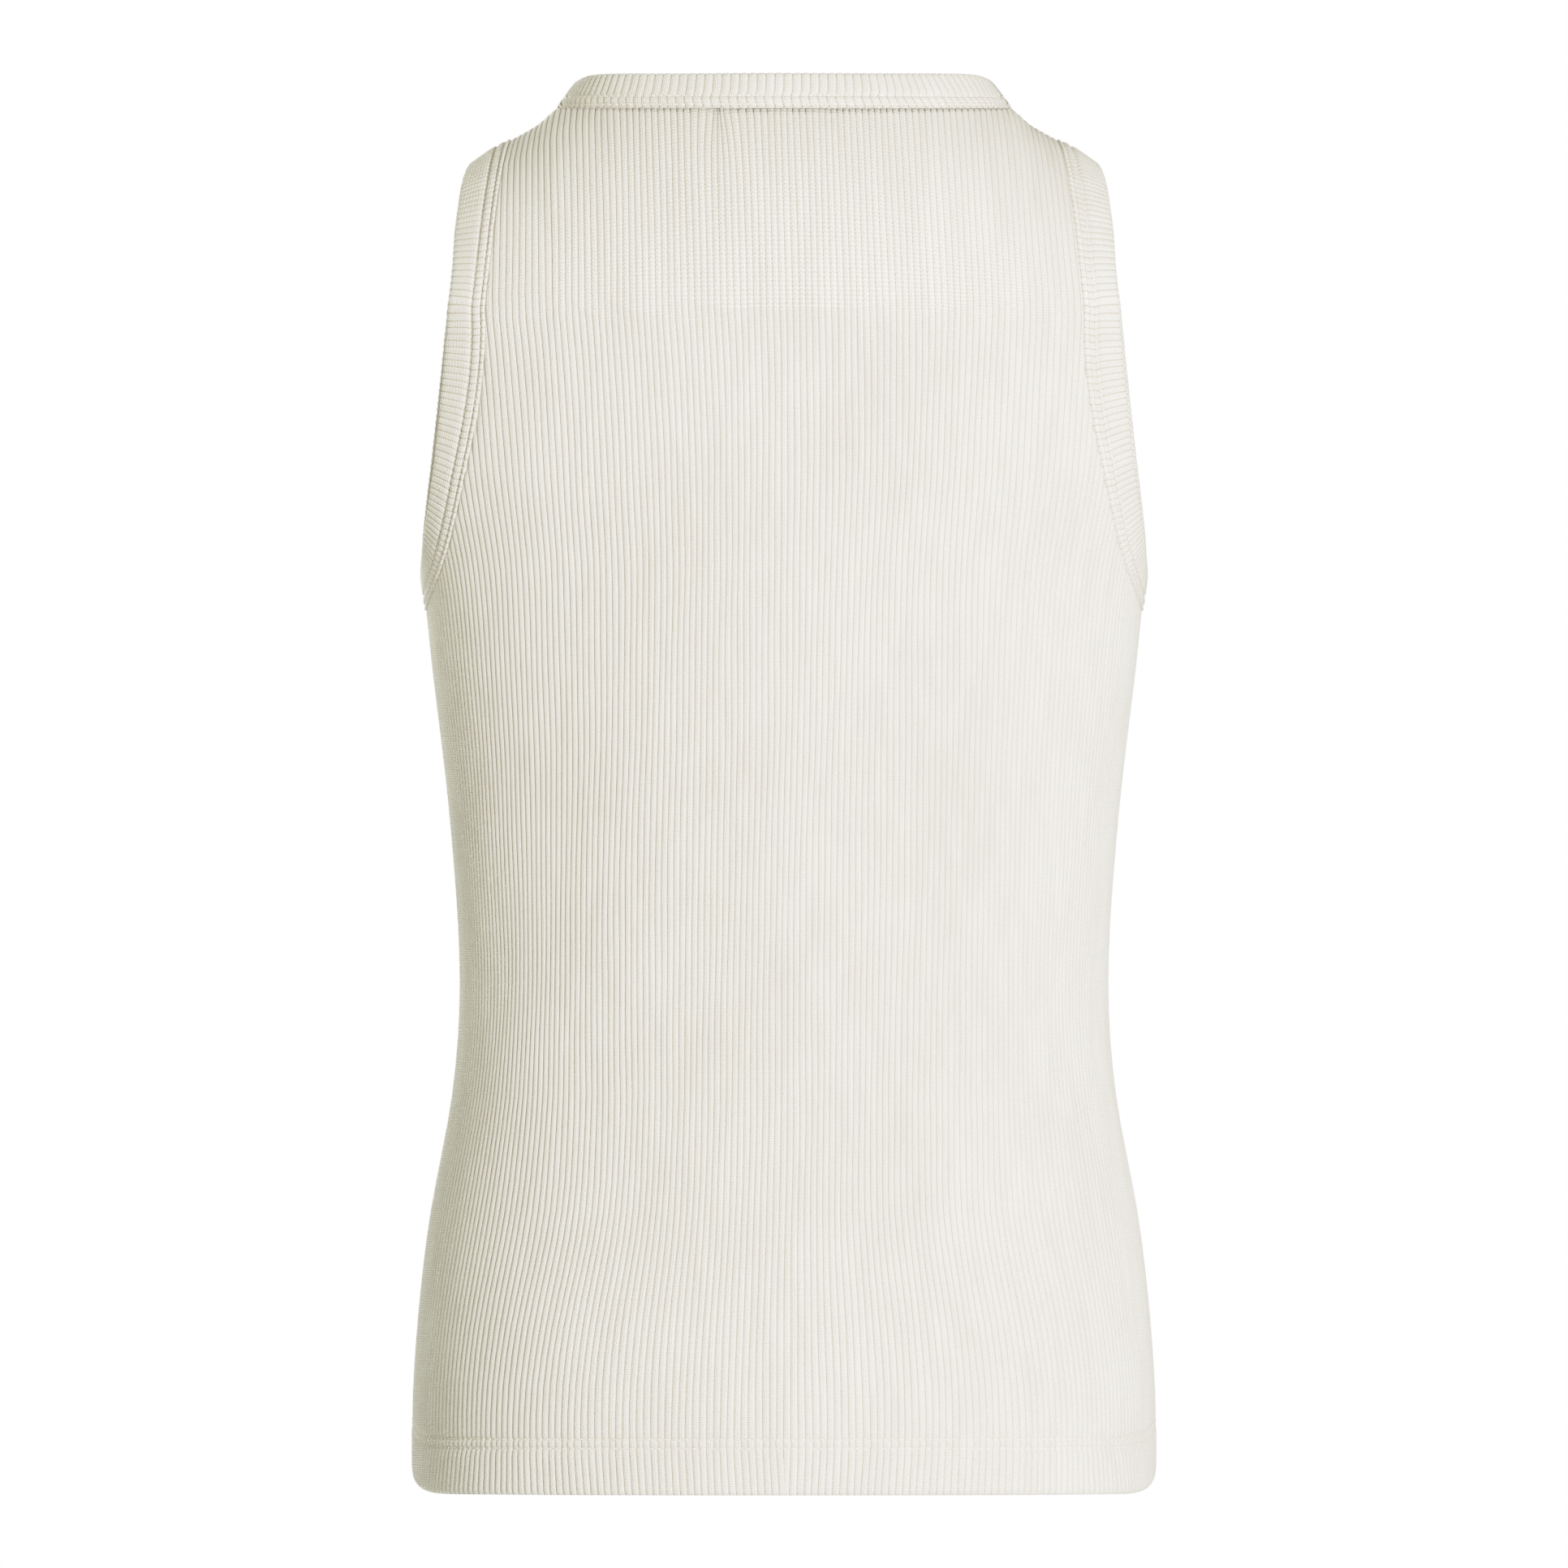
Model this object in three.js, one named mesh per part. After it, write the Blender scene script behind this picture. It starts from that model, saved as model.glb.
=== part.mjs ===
// Rib-knit tank top, filled out as when worn: a back and a front panel, a neck band and two
// armhole bands. Sizes are millimetres, the front faces -Y and +X is the wearer's left.
// Heights are counted up from the hem; the group is lowered so that the shoulders lie at zero.

import * as THREE from 'three';

// Driving sizes
const shoulderHeight = 575;
const chestHeight = 500;
const seamGap = 0.3;
const clothThickness = 1.2;
const ribHeight = 0.6;
const hemTurnUp = 21;
const hemStep = 1.5;
const hemDoubling = 1.0;
const hemRise = 11;
const hemRiseStart = 0.7;

// Ribs from the centre line outwards, on one half of a panel
const ribsToSide = 75;
const ribsToArmhole = 45;
const ribsToNeck = 37;

// Armhole and neckline seams
const armholeBottom = 372.5;
const armholeRoundness = 1.95;
const backNeckHeight = 583.5;
const frontNeckBottom = 488;
const frontNeckCorner = backNeckHeight;
const frontNeckRoundness = 2.05;
const seamStep = 6.5;

// Bindings
const bandGap = 0.4;
const bandWidth = 16.5;
const bandInside = -0.5;
const bandOutside = 1.9;
const bandRibHeight = 0.6;
const neckHalfWidth = 94.7;
const neckBandLiftFront = 8;
const neckBandLiftBack = 20;
const neckBandLiftSides = 10;
const neckBandRibs = 172;
const armholeBandRibs = 180;
const stationsPerInnerStep = 8;

// Body girth at each height: half width, depth behind and before the side seams, and how
// square the section is (2 is an ellipse)
const sections = [
  { height: 0, half: 155.3, back: 120, front: 106, square: 2.35 },
  { height: 50, half: 154.6, back: 119, front: 105, square: 2.35 },
  { height: 110, half: 148.8, back: 110, front: 98, square: 2.3 },
  { height: 172, half: 137.9, back: 97, front: 90, square: 2.25 },
  { height: 220, half: 135.2, back: 90, front: 86, square: 2.2 },
  { height: 285, half: 139.4, back: 88, front: 91, square: 2.2 },
  { height: 346, half: 146.5, back: 89, front: 98, square: 2.25 },
  { height: 388, half: 151.6, back: 89, front: 100, square: 2.35 },
  { height: 435, half: 163.0, back: 88, front: 97, square: 2.45 },
  { height: 500, half: 170.5, back: 84, front: 88, square: 2.5 },
];

// Height of the shoulder line at each distance from the centre. The first row mirrors the
// third, which keeps the line level at the centre.
const ridge = [
  { out: -30, height: 608.5 },
  { out: 0, height: 610.5 },
  { out: 30, height: 608.5 },
  { out: 60, height: 600.5 },
  { out: neckHalfWidth, height: backNeckHeight },
  { out: 104, height: 575.9 },
  { out: 130, height: 562.2 },
  { out: 160, height: 547.2 },
];

// Rows of the cloth. Above the chest a row number goes on by one for each degree of the turn
// over the shoulder, so 590 is the shoulder seam.
const turnRows = 90;
const shoulderSeam = chestHeight + turnRows;
const rows = [60, 130, 190, 255, 350, 425, 500, 518, 536, 554, 572, shoulderSeam];
const shoulderNarrowing = 0.09;
const arcSteps = 240;
const innerColumnRibs = 5;

// Steps and tolerances of the construction
const finestStep = 1e-6;
const acrossTolerance = 1e-9;
const rowTolerance = 1e-6;
const normalStepAcross = 0.002;
const normalStepRow = 0.5;
const heightSearchSteps = 30;
const thinningTolerance = 0.1;
const tangentReach = 4;
const quarterTurn = Math.PI / 2;

const edgeAtArmhole = ribsToArmhole / ribsToSide;
const edgeAtNeck = ribsToNeck / ribsToSide;

const clothColour = 0xece8df;

// Two columns of points to a rib, its top and the groove beside it
const ribColumns = [];
for (let i = -2 * ribsToSide; i <= 2 * ribsToSide; i += 1) ribColumns.push(i / (2 * ribsToSide));

// A smooth curve through the rows of a table with named columns
function readTable(table, key, at, column) {
  let i = 0;
  while (i < table.length - 2 && at > table[i + 1][key]) i += 1;
  const slope = (k) => {
    const low = table[Math.max(k - 1, 0)];
    const high = table[Math.min(k + 1, table.length - 1)];
    return (high[column] - low[column]) / (high[key] - low[key]);
  };
  const span = table[i + 1][key] - table[i][key];
  const t = (at - table[i][key]) / span;
  const rise = table[i + 1][column] - table[i][column];
  const start = slope(i) * span;
  const end = slope(i + 1) * span;
  const bend = t * (1 - t) * ((1 - t) * (start - rise) - t * (end - rise));
  return table[i][column] + rise * t + bend;
}

// Points along one quarter of a section, with the length walked from the centre line
const arcs = new Map();
function sectionArc(side, height) {
  const name = `${side}/${height.toFixed(3)}`;
  if (arcs.has(name)) return arcs.get(name);
  const half = readTable(sections, 'height', height, 'half');
  const depth = readTable(sections, 'height', height, side);
  const power = 2 / readTable(sections, 'height', height, 'square');
  const arc = [];
  let walked = 0;
  for (let i = 0; i <= arcSteps; i += 1) {
    const turn = quarterTurn * (i / arcSteps);
    const x = half * Math.sin(turn) ** power;
    const y = i === arcSteps ? 0 : depth * Math.cos(turn) ** power;
    if (i > 0) walked += Math.hypot(x - arc[i - 1].x, y - arc[i - 1].y);
    arc.push({ x, y, walked });
  }
  arcs.set(name, arc);
  return arc;
}

// The place in a section at a share of the way from the centre line to the side seam
function sectionPoint(side, height, share) {
  const arc = sectionArc(side, height);
  const target = Math.min(share, 1) * arc[arcSteps].walked;
  let i = 1;
  while (i < arcSteps && arc[i].walked < target) i += 1;
  const t = (target - arc[i - 1].walked) / (arc[i].walked - arc[i - 1].walked);
  return {
    x: arc[i - 1].x + t * (arc[i].x - arc[i - 1].x),
    y: arc[i - 1].y + t * (arc[i].y - arc[i - 1].y),
  };
}

// How far the hem rises towards the side seams
function hemRow(across) {
  const t = (Math.abs(across) - hemRiseStart) / (1 - hemRiseStart);
  return t > 0 ? hemRise * t * t : 0;
}

// Inside face of the cloth. across runs from -1 to 1 between the side seams, and is the same
// all along a rib.
function skin(side, across, row) {
  const facing = side === 'back' ? 1 : -1;
  const share = Math.abs(across);
  const own = sectionPoint(side, Math.min(row, chestHeight), share);
  let { x, y } = own;
  let z = row;
  if (row > chestHeight) {
    const done = (row - chestHeight) / turnRows;
    const turn = done * quarterTurn;
    const shared = sectionPoint('back', chestHeight, share).x;
    x = (own.x + (shared - own.x) * done) * (1 - shoulderNarrowing * done);
    y = own.y * Math.cos(turn);
    z = chestHeight + (readTable(ridge, 'out', x, 'height') - chestHeight) * Math.sin(turn);
  }
  return new THREE.Vector3(Math.sign(across) * x, facing * (y + seamGap / 2), z);
}

function skinNormal(side, across, row) {
  const low = Math.max(across - normalStepAcross, -1);
  const high = Math.min(across + normalStepAcross, 1);
  const under = Math.min(row, shoulderSeam - normalStepRow) - normalStepRow;
  const above = Math.min(row + normalStepRow, shoulderSeam);
  const along = skin(side, high, row).sub(skin(side, low, row));
  const up = skin(side, across, above).sub(skin(side, across, under));
  const normal = new THREE.Vector3().crossVectors(along, up);
  if (side === 'back') normal.negate();
  if (row === shoulderSeam) normal.y = 0;
  if (Math.abs(across) === 1) normal.y = 0;
  return normal.normalize();
}

// The row number of a height on a rib
function rowAtHeight(side, across, height) {
  if (height <= chestHeight) return height;
  let row = chestHeight + turnRows / 2;
  for (let i = 0; i < heightSearchSteps; i += 1) {
    const x = Math.abs(skin(side, across, row).x);
    const reach = (height - chestHeight) / (readTable(ridge, 'out', x, 'height') - chestHeight);
    row = chestHeight + THREE.MathUtils.radToDeg(Math.asin(Math.min(reach, 1)));
  }
  return row;
}

// Where the cloth ends at the top of a rib, in the armhole, on the shoulder or at the neck
function regionAt(across) {
  const share = Math.abs(across);
  if (share > edgeAtArmhole) return 'armhole';
  return share > edgeAtNeck ? 'shoulder' : 'neck';
}

function topRow(side, region, across) {
  const share = Math.abs(across);
  if (region === 'shoulder') return shoulderSeam;
  if (region === 'armhole') {
    const w = Math.min(Math.max((1 - share) / (1 - edgeAtArmhole), 0), 1);
    const left = (1 - w ** armholeRoundness) ** (1 / armholeRoundness);
    return armholeBottom + (chestHeight - armholeBottom) * (1 - left);
  }
  if (side === 'back') return rowAtHeight(side, across, backNeckHeight);
  const w = Math.min(share / edgeAtNeck, 1);
  const left = (1 - w ** frontNeckRoundness) ** (1 / frontNeckRoundness);
  const height = frontNeckCorner - (frontNeckCorner - frontNeckBottom) * left;
  return rowAtHeight(side, across, height);
}

function sameAcross(first, second) {
  return Math.abs(first - second) < acrossTolerance;
}

function sameRow(first, second) {
  return Math.abs(first - second) < rowTolerance;
}

// The edge between two ribs' tops, cut finer where it is steep
function edgeBetween(side, region, from, to) {
  const place = (across) => ({ across, row: topRow(side, region, across) });
  const start = place(from);
  const end = place(to);
  const length = skin(side, from, start.row).distanceTo(skin(side, to, end.row));
  if (length <= seamStep || Math.abs(from - to) < finestStep) return [start, end];
  const middle = (from + to) / 2;
  const first = edgeBetween(side, region, from, middle);
  const second = edgeBetween(side, region, middle, to);
  return [...first, ...second.slice(1)];
}

// The whole top edge of a panel from one side seam to the other
function topEdge(side, columns) {
  const edge = [];
  const put = (place) => {
    const last = edge[edge.length - 1];
    const repeated = last && sameAcross(last.across, place.across) && sameRow(last.row, place.row);
    if (!repeated) edge.push(place);
  };
  for (let i = 0; i < columns.length - 1; i += 1) {
    const region = regionAt((columns[i] + columns[i + 1]) / 2);
    const piece = edgeBetween(side, region, columns[i], columns[i + 1]);
    const last = edge[edge.length - 1];
    if (last && !sameRow(last.row, piece[0].row)) {
      const between = rows.filter((row) => (row - last.row) * (row - piece[0].row) < -rowTolerance);
      if (piece[0].row < last.row) between.reverse();
      between.forEach((row) => put({ across: columns[i], row }));
    }
    piece.forEach(put);
  }
  return edge;
}

// Faces between two lines of points that run the same way, the first on the left
function zip(left, right, faces) {
  let i = 0;
  let j = 0;
  while (i < left.length - 1 || j < right.length - 1) {
    const stepLeft = j === right.length - 1
      || (i < left.length - 1 && left[i + 1].key <= right[j + 1].key);
    if (stepLeft) {
      faces.push([left[i].id, right[j].id, left[i + 1].id]);
      i += 1;
    } else {
      faces.push([left[i].id, right[j].id, right[j + 1].id]);
      j += 1;
    }
  }
}

class Body {
  constructor() {
    this.points = [];
    this.names = new Map();
    this.faces = [];
  }

  add(name, makePoint) {
    if (!this.names.has(name)) {
      this.names.set(name, this.points.length);
      this.points.push(makePoint());
    }
    return this.names.get(name);
  }

  // Turns the faces outwards if they point in, and makes the mesh
  mesh(name) {
    let volume = 0;
    this.faces.forEach(([a, b, c]) => {
      const turned = new THREE.Vector3().crossVectors(this.points[b], this.points[c]);
      volume += this.points[a].dot(turned) / 6;
    });
    const order = volume > 0 ? this.faces : this.faces.map(([a, b, c]) => [a, c, b]);
    const geometry = new THREE.BufferGeometry();
    geometry.setFromPoints(this.points);
    geometry.setIndex(order.flat());
    geometry.computeVertexNormals();
    const material = new THREE.MeshStandardMaterial({ color: clothColour, roughness: 0.92, metalness: 0 });
    const mesh = new THREE.Mesh(geometry, material);
    mesh.name = name;
    return mesh;
  }
}

function ribRelief(across) {
  const phase = Math.abs(across) * ribsToSide;
  return 1 - Math.abs(2 * (phase - Math.floor(phase)) - 1);
}

// One face of a panel: ribs as columns, joined strip by strip up to the top edge
function panelFace(body, side, face, columns, edge, faceRows, offset) {
  const point = (across, row) => body.add(`${face}/${across.toFixed(9)}/${row.toFixed(4)}`, () => {
    const normal = skinNormal(side, across, row);
    return skin(side, across, row).addScaledVector(normal, offset(across, row));
  });
  const column = (across, region) => {
    const top = topRow(side, region, across);
    const inside = faceRows(across);
    if (sameAcross(Math.abs(across), edgeAtNeck)) inside.push(topRow(side, 'neck', across));
    const below = inside.filter((row) => row < top - rowTolerance).sort((a, b) => a - b);
    return [...below, top].map((row) => ({ id: point(across, row), key: row }));
  };
  const strips = [];
  for (let i = 0; i < columns.length - 1; i += 1) {
    const [from, to] = [columns[i], columns[i + 1]];
    const region = regionAt((from + to) / 2);
    const left = column(from, region);
    const right = column(to, region);
    const between = edge
      .filter(({ across }) => across > from + acrossTolerance && across < to - acrossTolerance)
      .map((place) => ({ id: point(place.across, place.row), key: place.row }));
    if (left[left.length - 1].key < right[right.length - 1].key) left.push(...between);
    else right.push(...between.reverse());
    zip(left, right, strips);
  }
  return {
    strips,
    top: edge.map((place, i) => ({ id: point(place.across, place.row), key: i })),
    bottom: columns.map((across) => ({ id: point(across, hemRow(across)), key: across })),
    first: column(columns[0], 'armhole'),
    last: column(columns[columns.length - 1], 'armhole'),
  };
}

// Leaves out the points of an edge that lie almost on the line between their neighbours
function thinned(side, edge, kept) {
  const places = edge.map((place) => skin(side, place.across, place.row));
  const result = [0];
  for (let i = 1; i < edge.length - 1; i += 1) {
    const start = result[result.length - 1];
    const line = new THREE.Line3(places[start], places[i + 1]);
    let off = 0;
    for (let k = start + 1; k <= i; k += 1) {
      const near = line.closestPointToPoint(places[k], true, new THREE.Vector3());
      off = Math.max(off, near.distanceTo(places[k]));
    }
    if (off > thinningTolerance || kept(edge[i])) result.push(i);
  }
  result.push(edge.length - 1);
  return result;
}

function makePanel(name, side) {
  const body = new Body();
  const edge = topEdge(side, ribColumns);

  const outerRows = (across) => [hemRow(across), ...rows];
  const outerOffset = (across) => clothThickness + ribHeight * ribRelief(across);
  const outer = panelFace(body, side, 'outer', ribColumns, edge, outerRows, outerOffset);

  const turnedUp = (across) => hemRow(across) + hemTurnUp;
  const innerRows = (across) => [
    hemRow(across), turnedUp(across), turnedUp(across) + hemStep, ...rows];
  const innerOffset = (across, row) => (row < turnedUp(across) + hemStep / 2 ? -hemDoubling : 0);
  const wanted = (across) => {
    const share = Math.abs(across);
    const groups = (share * ribsToSide) / innerColumnRibs;
    const regular = sameAcross(groups, Math.round(groups));
    return regular || sameAcross(share, edgeAtNeck) || sameAcross(share, edgeAtArmhole);
  };
  const innerColumns = ribColumns.filter(wanted);
  const keptNumbers = thinned(side, edge, (place) => wanted(place.across));
  const innerEdge = keptNumbers.map((number) => edge[number]);
  const inner = panelFace(body, side, 'inner', innerColumns, innerEdge, innerRows, innerOffset);
  inner.top.forEach((place, i) => { place.key = keptNumbers[i]; });

  body.faces.push(...outer.strips);
  body.faces.push(...inner.strips.map(([a, b, c]) => [a, c, b]));
  zip(inner.top, outer.top, body.faces);
  zip(outer.bottom, inner.bottom, body.faces);
  zip(inner.first, outer.first, body.faces);
  zip(outer.last, inner.last, body.faces);
  return body.mesh(name);
}

// The seam line of an opening, as points on the cloth with the cloth's outward direction
function seamLine(side, from, to) {
  return topEdge(side, ribColumns)
    .filter(({ across }) => across >= from - acrossTolerance && across <= to + acrossTolerance)
    .map((place) => ({
      point: skin(side, place.across, place.row),
      normal: skinNormal(side, place.across, place.row),
    }));
}

// Even stations round a closed line
function evenStations(line, count) {
  const lengths = [0];
  line.forEach((place, i) => {
    const next = line[(i + 1) % line.length];
    lengths.push(lengths[i] + place.point.distanceTo(next.point));
  });
  const total = lengths[line.length];
  const at = (distance) => {
    const target = ((distance % total) + total) % total;
    let i = 0;
    while (i < line.length - 1 && lengths[i + 1] < target) i += 1;
    const t = (target - lengths[i]) / (lengths[i + 1] - lengths[i]);
    const next = line[(i + 1) % line.length];
    return {
      point: line[i].point.clone().lerp(next.point, t),
      normal: line[i].normal.clone().lerp(next.normal, t).normalize(),
    };
  };
  const stations = [];
  for (let i = 0; i < count; i += 1) {
    const distance = (total * i) / count;
    const here = at(distance);
    const ahead = at(distance + tangentReach).point;
    here.tangent = ahead.sub(at(distance - tangentReach).point).normalize();
    stations.push(here);
  }
  return stations;
}

// A binding round an opening: a rib strip folded over the raw edge, its ribs across the band
function makeBand(name, line, ribs, standUp) {
  const body = new Body();
  const count = 2 * ribs;
  const stations = evenStations(line, count);
  const centre = new THREE.Vector3();
  stations.forEach((station) => centre.addScaledVector(station.point, 1 / count));
  let facing = 0;
  stations.forEach((station) => {
    station.across = new THREE.Vector3().crossVectors(station.tangent, station.normal).normalize();
    facing += station.across.dot(centre.clone().sub(station.point));
  });
  const rings = { seamOut: [], freeOut: [], freeIn: [], seamIn: [] };
  stations.forEach((station, i) => {
    const across = station.across.multiplyScalar(Math.sign(facing));
    const lift = standUp(station.point);
    const free = across.clone().multiplyScalar(Math.cos(lift));
    free.addScaledVector(station.normal, Math.sin(lift));
    const freeNormal = station.normal.clone().multiplyScalar(Math.cos(lift));
    freeNormal.addScaledVector(across, -Math.sin(lift));
    const relief = bandOutside + bandRibHeight * (i % 2);
    const seam = station.point.clone().addScaledVector(across, bandGap);
    const edge = station.point.clone().addScaledVector(free, bandWidth);
    const put = (ring, base, normal, height) => {
      const id = body.points.length;
      body.points.push(base.clone().addScaledVector(normal, height));
      rings[ring].push({ id, key: i });
    };
    put('seamOut', seam, station.normal, relief);
    put('freeOut', edge, freeNormal, relief);
    if (i % stationsPerInnerStep === 0) {
      put('freeIn', edge, freeNormal, bandInside);
      put('seamIn', seam, station.normal, bandInside);
    }
  });
  Object.values(rings).forEach((ring) => ring.push({ id: ring[0].id, key: count }));
  const around = [rings.seamOut, rings.freeOut, rings.freeIn, rings.seamIn, rings.seamOut];
  for (let i = 0; i < 4; i += 1) zip(around[i], around[i + 1], body.faces);
  return body.mesh(name);
}

function makeNeckBand() {
  const behind = seamLine('back', -edgeAtNeck, edgeAtNeck);
  const before = seamLine('front', -edgeAtNeck, edgeAtNeck).reverse();
  const standUp = (point) => {
    const raised = (point.z - frontNeckBottom) / (backNeckHeight - frontNeckBottom);
    const behind = THREE.MathUtils.smoothstep(raised, 0, 1);
    const aside = Math.min((point.x / neckHalfWidth) ** 4, 1);
    const sides = 4 * aside * (1 - aside) * neckBandLiftSides;
    const lift = neckBandLiftFront + (neckBandLiftBack - neckBandLiftFront + sides) * behind;
    return THREE.MathUtils.degToRad(lift);
  };
  return makeBand('neck_band', [...behind, ...before], neckBandRibs, standUp);
}

function makeArmholeBand(name, facing) {
  const from = facing > 0 ? edgeAtArmhole : -1;
  const behind = seamLine('back', from, from + 1 - edgeAtArmhole);
  const before = seamLine('front', from, from + 1 - edgeAtArmhole).reverse();
  return makeBand(name, [...behind, ...before], armholeBandRibs, () => 0);
}

const tankTop = new THREE.Group();
tankTop.add(makePanel('back_panel', 'back'));
tankTop.add(makePanel('front_panel', 'front'));
tankTop.add(makeNeckBand());
tankTop.add(makeArmholeBand('armhole_band_left', 1));
tankTop.add(makeArmholeBand('armhole_band_right', -1));
tankTop.position.z = -shoulderHeight;

export default tankTop;
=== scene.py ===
# %% [markdown]
# # A rib-knit tank top, filled out as when worn
#
# The garment hangs in the air as if someone wore it, seen straight from behind. It is made
# of five pieces of cloth: a back and a front panel, a binding round the neck and one round
# each armhole. The solids that are loaded first say where each piece lies. What is made
# here is the cloth itself: its ribs, its sewing and its finish.

# %% Load the frame and keep its box
import math

import bpy
import numpy as np
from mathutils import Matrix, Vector


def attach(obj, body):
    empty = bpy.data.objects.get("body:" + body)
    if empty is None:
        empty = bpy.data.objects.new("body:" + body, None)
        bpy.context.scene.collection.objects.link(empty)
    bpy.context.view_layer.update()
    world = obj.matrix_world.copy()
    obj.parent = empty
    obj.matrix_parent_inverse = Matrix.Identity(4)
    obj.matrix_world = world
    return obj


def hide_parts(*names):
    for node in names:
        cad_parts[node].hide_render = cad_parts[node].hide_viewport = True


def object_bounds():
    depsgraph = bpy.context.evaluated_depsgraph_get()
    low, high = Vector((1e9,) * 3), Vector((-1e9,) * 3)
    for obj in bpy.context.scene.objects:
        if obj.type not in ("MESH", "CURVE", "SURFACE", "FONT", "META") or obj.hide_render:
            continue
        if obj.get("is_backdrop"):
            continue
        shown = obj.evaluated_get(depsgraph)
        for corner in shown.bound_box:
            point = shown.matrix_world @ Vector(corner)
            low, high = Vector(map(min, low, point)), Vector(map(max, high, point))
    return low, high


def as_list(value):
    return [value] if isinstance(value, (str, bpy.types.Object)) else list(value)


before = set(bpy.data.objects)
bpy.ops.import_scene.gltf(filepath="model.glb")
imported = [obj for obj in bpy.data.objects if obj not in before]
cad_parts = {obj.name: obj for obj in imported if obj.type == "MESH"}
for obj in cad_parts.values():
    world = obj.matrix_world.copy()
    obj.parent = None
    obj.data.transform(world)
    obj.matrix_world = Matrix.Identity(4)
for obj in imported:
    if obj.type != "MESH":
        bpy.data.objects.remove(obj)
solid_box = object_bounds()
print("pieces in the frame:", sorted(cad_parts))

# %% [markdown]
# ## Sizes of the garment
#
# A knitted top is planned by heights above its hem, so the tables here count up from the
# hem in millimetres, and one helper moves everything to the frame, whose origin lies on
# the shoulders. Each row of the table is a section through the body: how wide and how deep
# the cloth stands there, and how square the curve is. An ellipse has a squareness of 2.
# The tables could be a long list of points instead, but a few sections with a smooth curve
# between them are easier to change.

# %% Driving sizes in millimetres
MM = 0.001
SHOULDER_HEIGHT = 575.0
CHEST_HEIGHT = 500.0
SHOULDER_TURN = 90
SHOULDER_SEAM = 590
SEAM_GAP = 0.3
SHOULDER_NARROWING = 0.09
CLOTH = 1.2
RIB_HEIGHT = 0.6
RIBS_TO_SIDE = 75
RIBS_TO_ARMHOLE = 45
RIBS_TO_NECK = 37
HEM_RISE = 11.0
HEM_RISE_START = 0.7
ARMHOLE_BOTTOM = 372.5
ARMHOLE_ROUNDNESS = 1.95
BACK_NECK_HEIGHT = 583.5
FRONT_NECK_BOTTOM = 488.0
FRONT_NECK_ROUNDNESS = 2.05
EDGE_AT_ARMHOLE = RIBS_TO_ARMHOLE / RIBS_TO_SIDE
EDGE_AT_NECK = RIBS_TO_NECK / RIBS_TO_SIDE

SECTIONS = {
    "height": [0, 50, 110, 172, 220, 285, 346, 388, 435, 500],
    "half": [155.3, 154.6, 148.8, 137.9, 135.2, 139.4, 146.5, 151.6, 163.0, 170.5],
    "back": [120, 119, 110, 97, 90, 88, 89, 89, 88, 84],
    "front": [106, 105, 98, 90, 86, 91, 98, 100, 97, 88],
    "square": [2.35, 2.35, 2.3, 2.25, 2.2, 2.2, 2.25, 2.35, 2.45, 2.5],
}
RIDGE = {
    "out": [-30, 0, 30, 60, 94.7, 104, 130, 160],
    "height": [608.5, 610.5, 608.5, 600.5, 583.5, 575.9, 562.2, 547.2],
}


def smooth_table(table, key, column, at):
    """Reads a smooth curve through the rows of a table."""
    knots = np.array(table[key], float)
    values = np.array(table[column], float)
    slopes = np.empty_like(values)
    slopes[1:-1] = (values[2:] - values[:-2]) / (knots[2:] - knots[:-2])
    slopes[0] = (values[1] - values[0]) / (knots[1] - knots[0])
    slopes[-1] = (values[-1] - values[-2]) / (knots[-1] - knots[-2])
    at = np.asarray(at, float)
    i = np.clip(np.searchsorted(knots, at, side="right") - 1, 0, len(knots) - 2)
    span = knots[i + 1] - knots[i]
    t = (at - knots[i]) / span
    rise = values[i + 1] - values[i]
    bend = t * (1 - t) * ((1 - t) * (slopes[i] * span - rise) - t * (slopes[i + 1] * span - rise))
    return values[i] + rise * t + bend


def ease(t):
    """A soft step from 0 to 1."""
    t = np.clip(t, 0, 1)
    return t * t * (3 - 2 * t)


print("chest round:", round(float(4 * smooth_table(SECTIONS, "height", "half", 388))), "mm or so")

# %% [markdown]
# ## The form of the cloth
#
# Knit cloth is best described along its ribs. Every place on a panel gets two numbers:
# how far it is across the panel, from -1 at one side seam to 1 at the other, and its row,
# which is its height up to the chest. Above the chest each row is one more degree of the
# turn over the shoulder. A fine net of such places is worked out once for the back and
# once for the front, and everything else reads its position and its outward direction from
# that net. The other way would be to draw the panels by hand and lay the ribs on them, and
# then the ribs would not end where the seams cut them.

# %% A net of places on the inside of the cloth
NET_SHARES = 300
NET_TRIES = 30
SECTION_POINTS = 400


def section_points(side, row):
    """A quarter of the section at a height, from the middle to the side, at even steps."""
    half = float(smooth_table(SECTIONS, "height", "half", row))
    depth = float(smooth_table(SECTIONS, "height", side, row))
    power = 2 / float(smooth_table(SECTIONS, "height", "square", row))
    turn = np.linspace(0, np.pi / 2, SECTION_POINTS)
    x = half * np.sin(turn) ** power
    y = depth * np.clip(np.cos(turn), 0, 1) ** power
    walked = np.concatenate([[0], np.cumsum(np.hypot(np.diff(x), np.diff(y)))])
    at = np.linspace(0, walked[-1], NET_SHARES + 1)
    return np.interp(at, walked, x), np.interp(at, walked, y)


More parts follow.
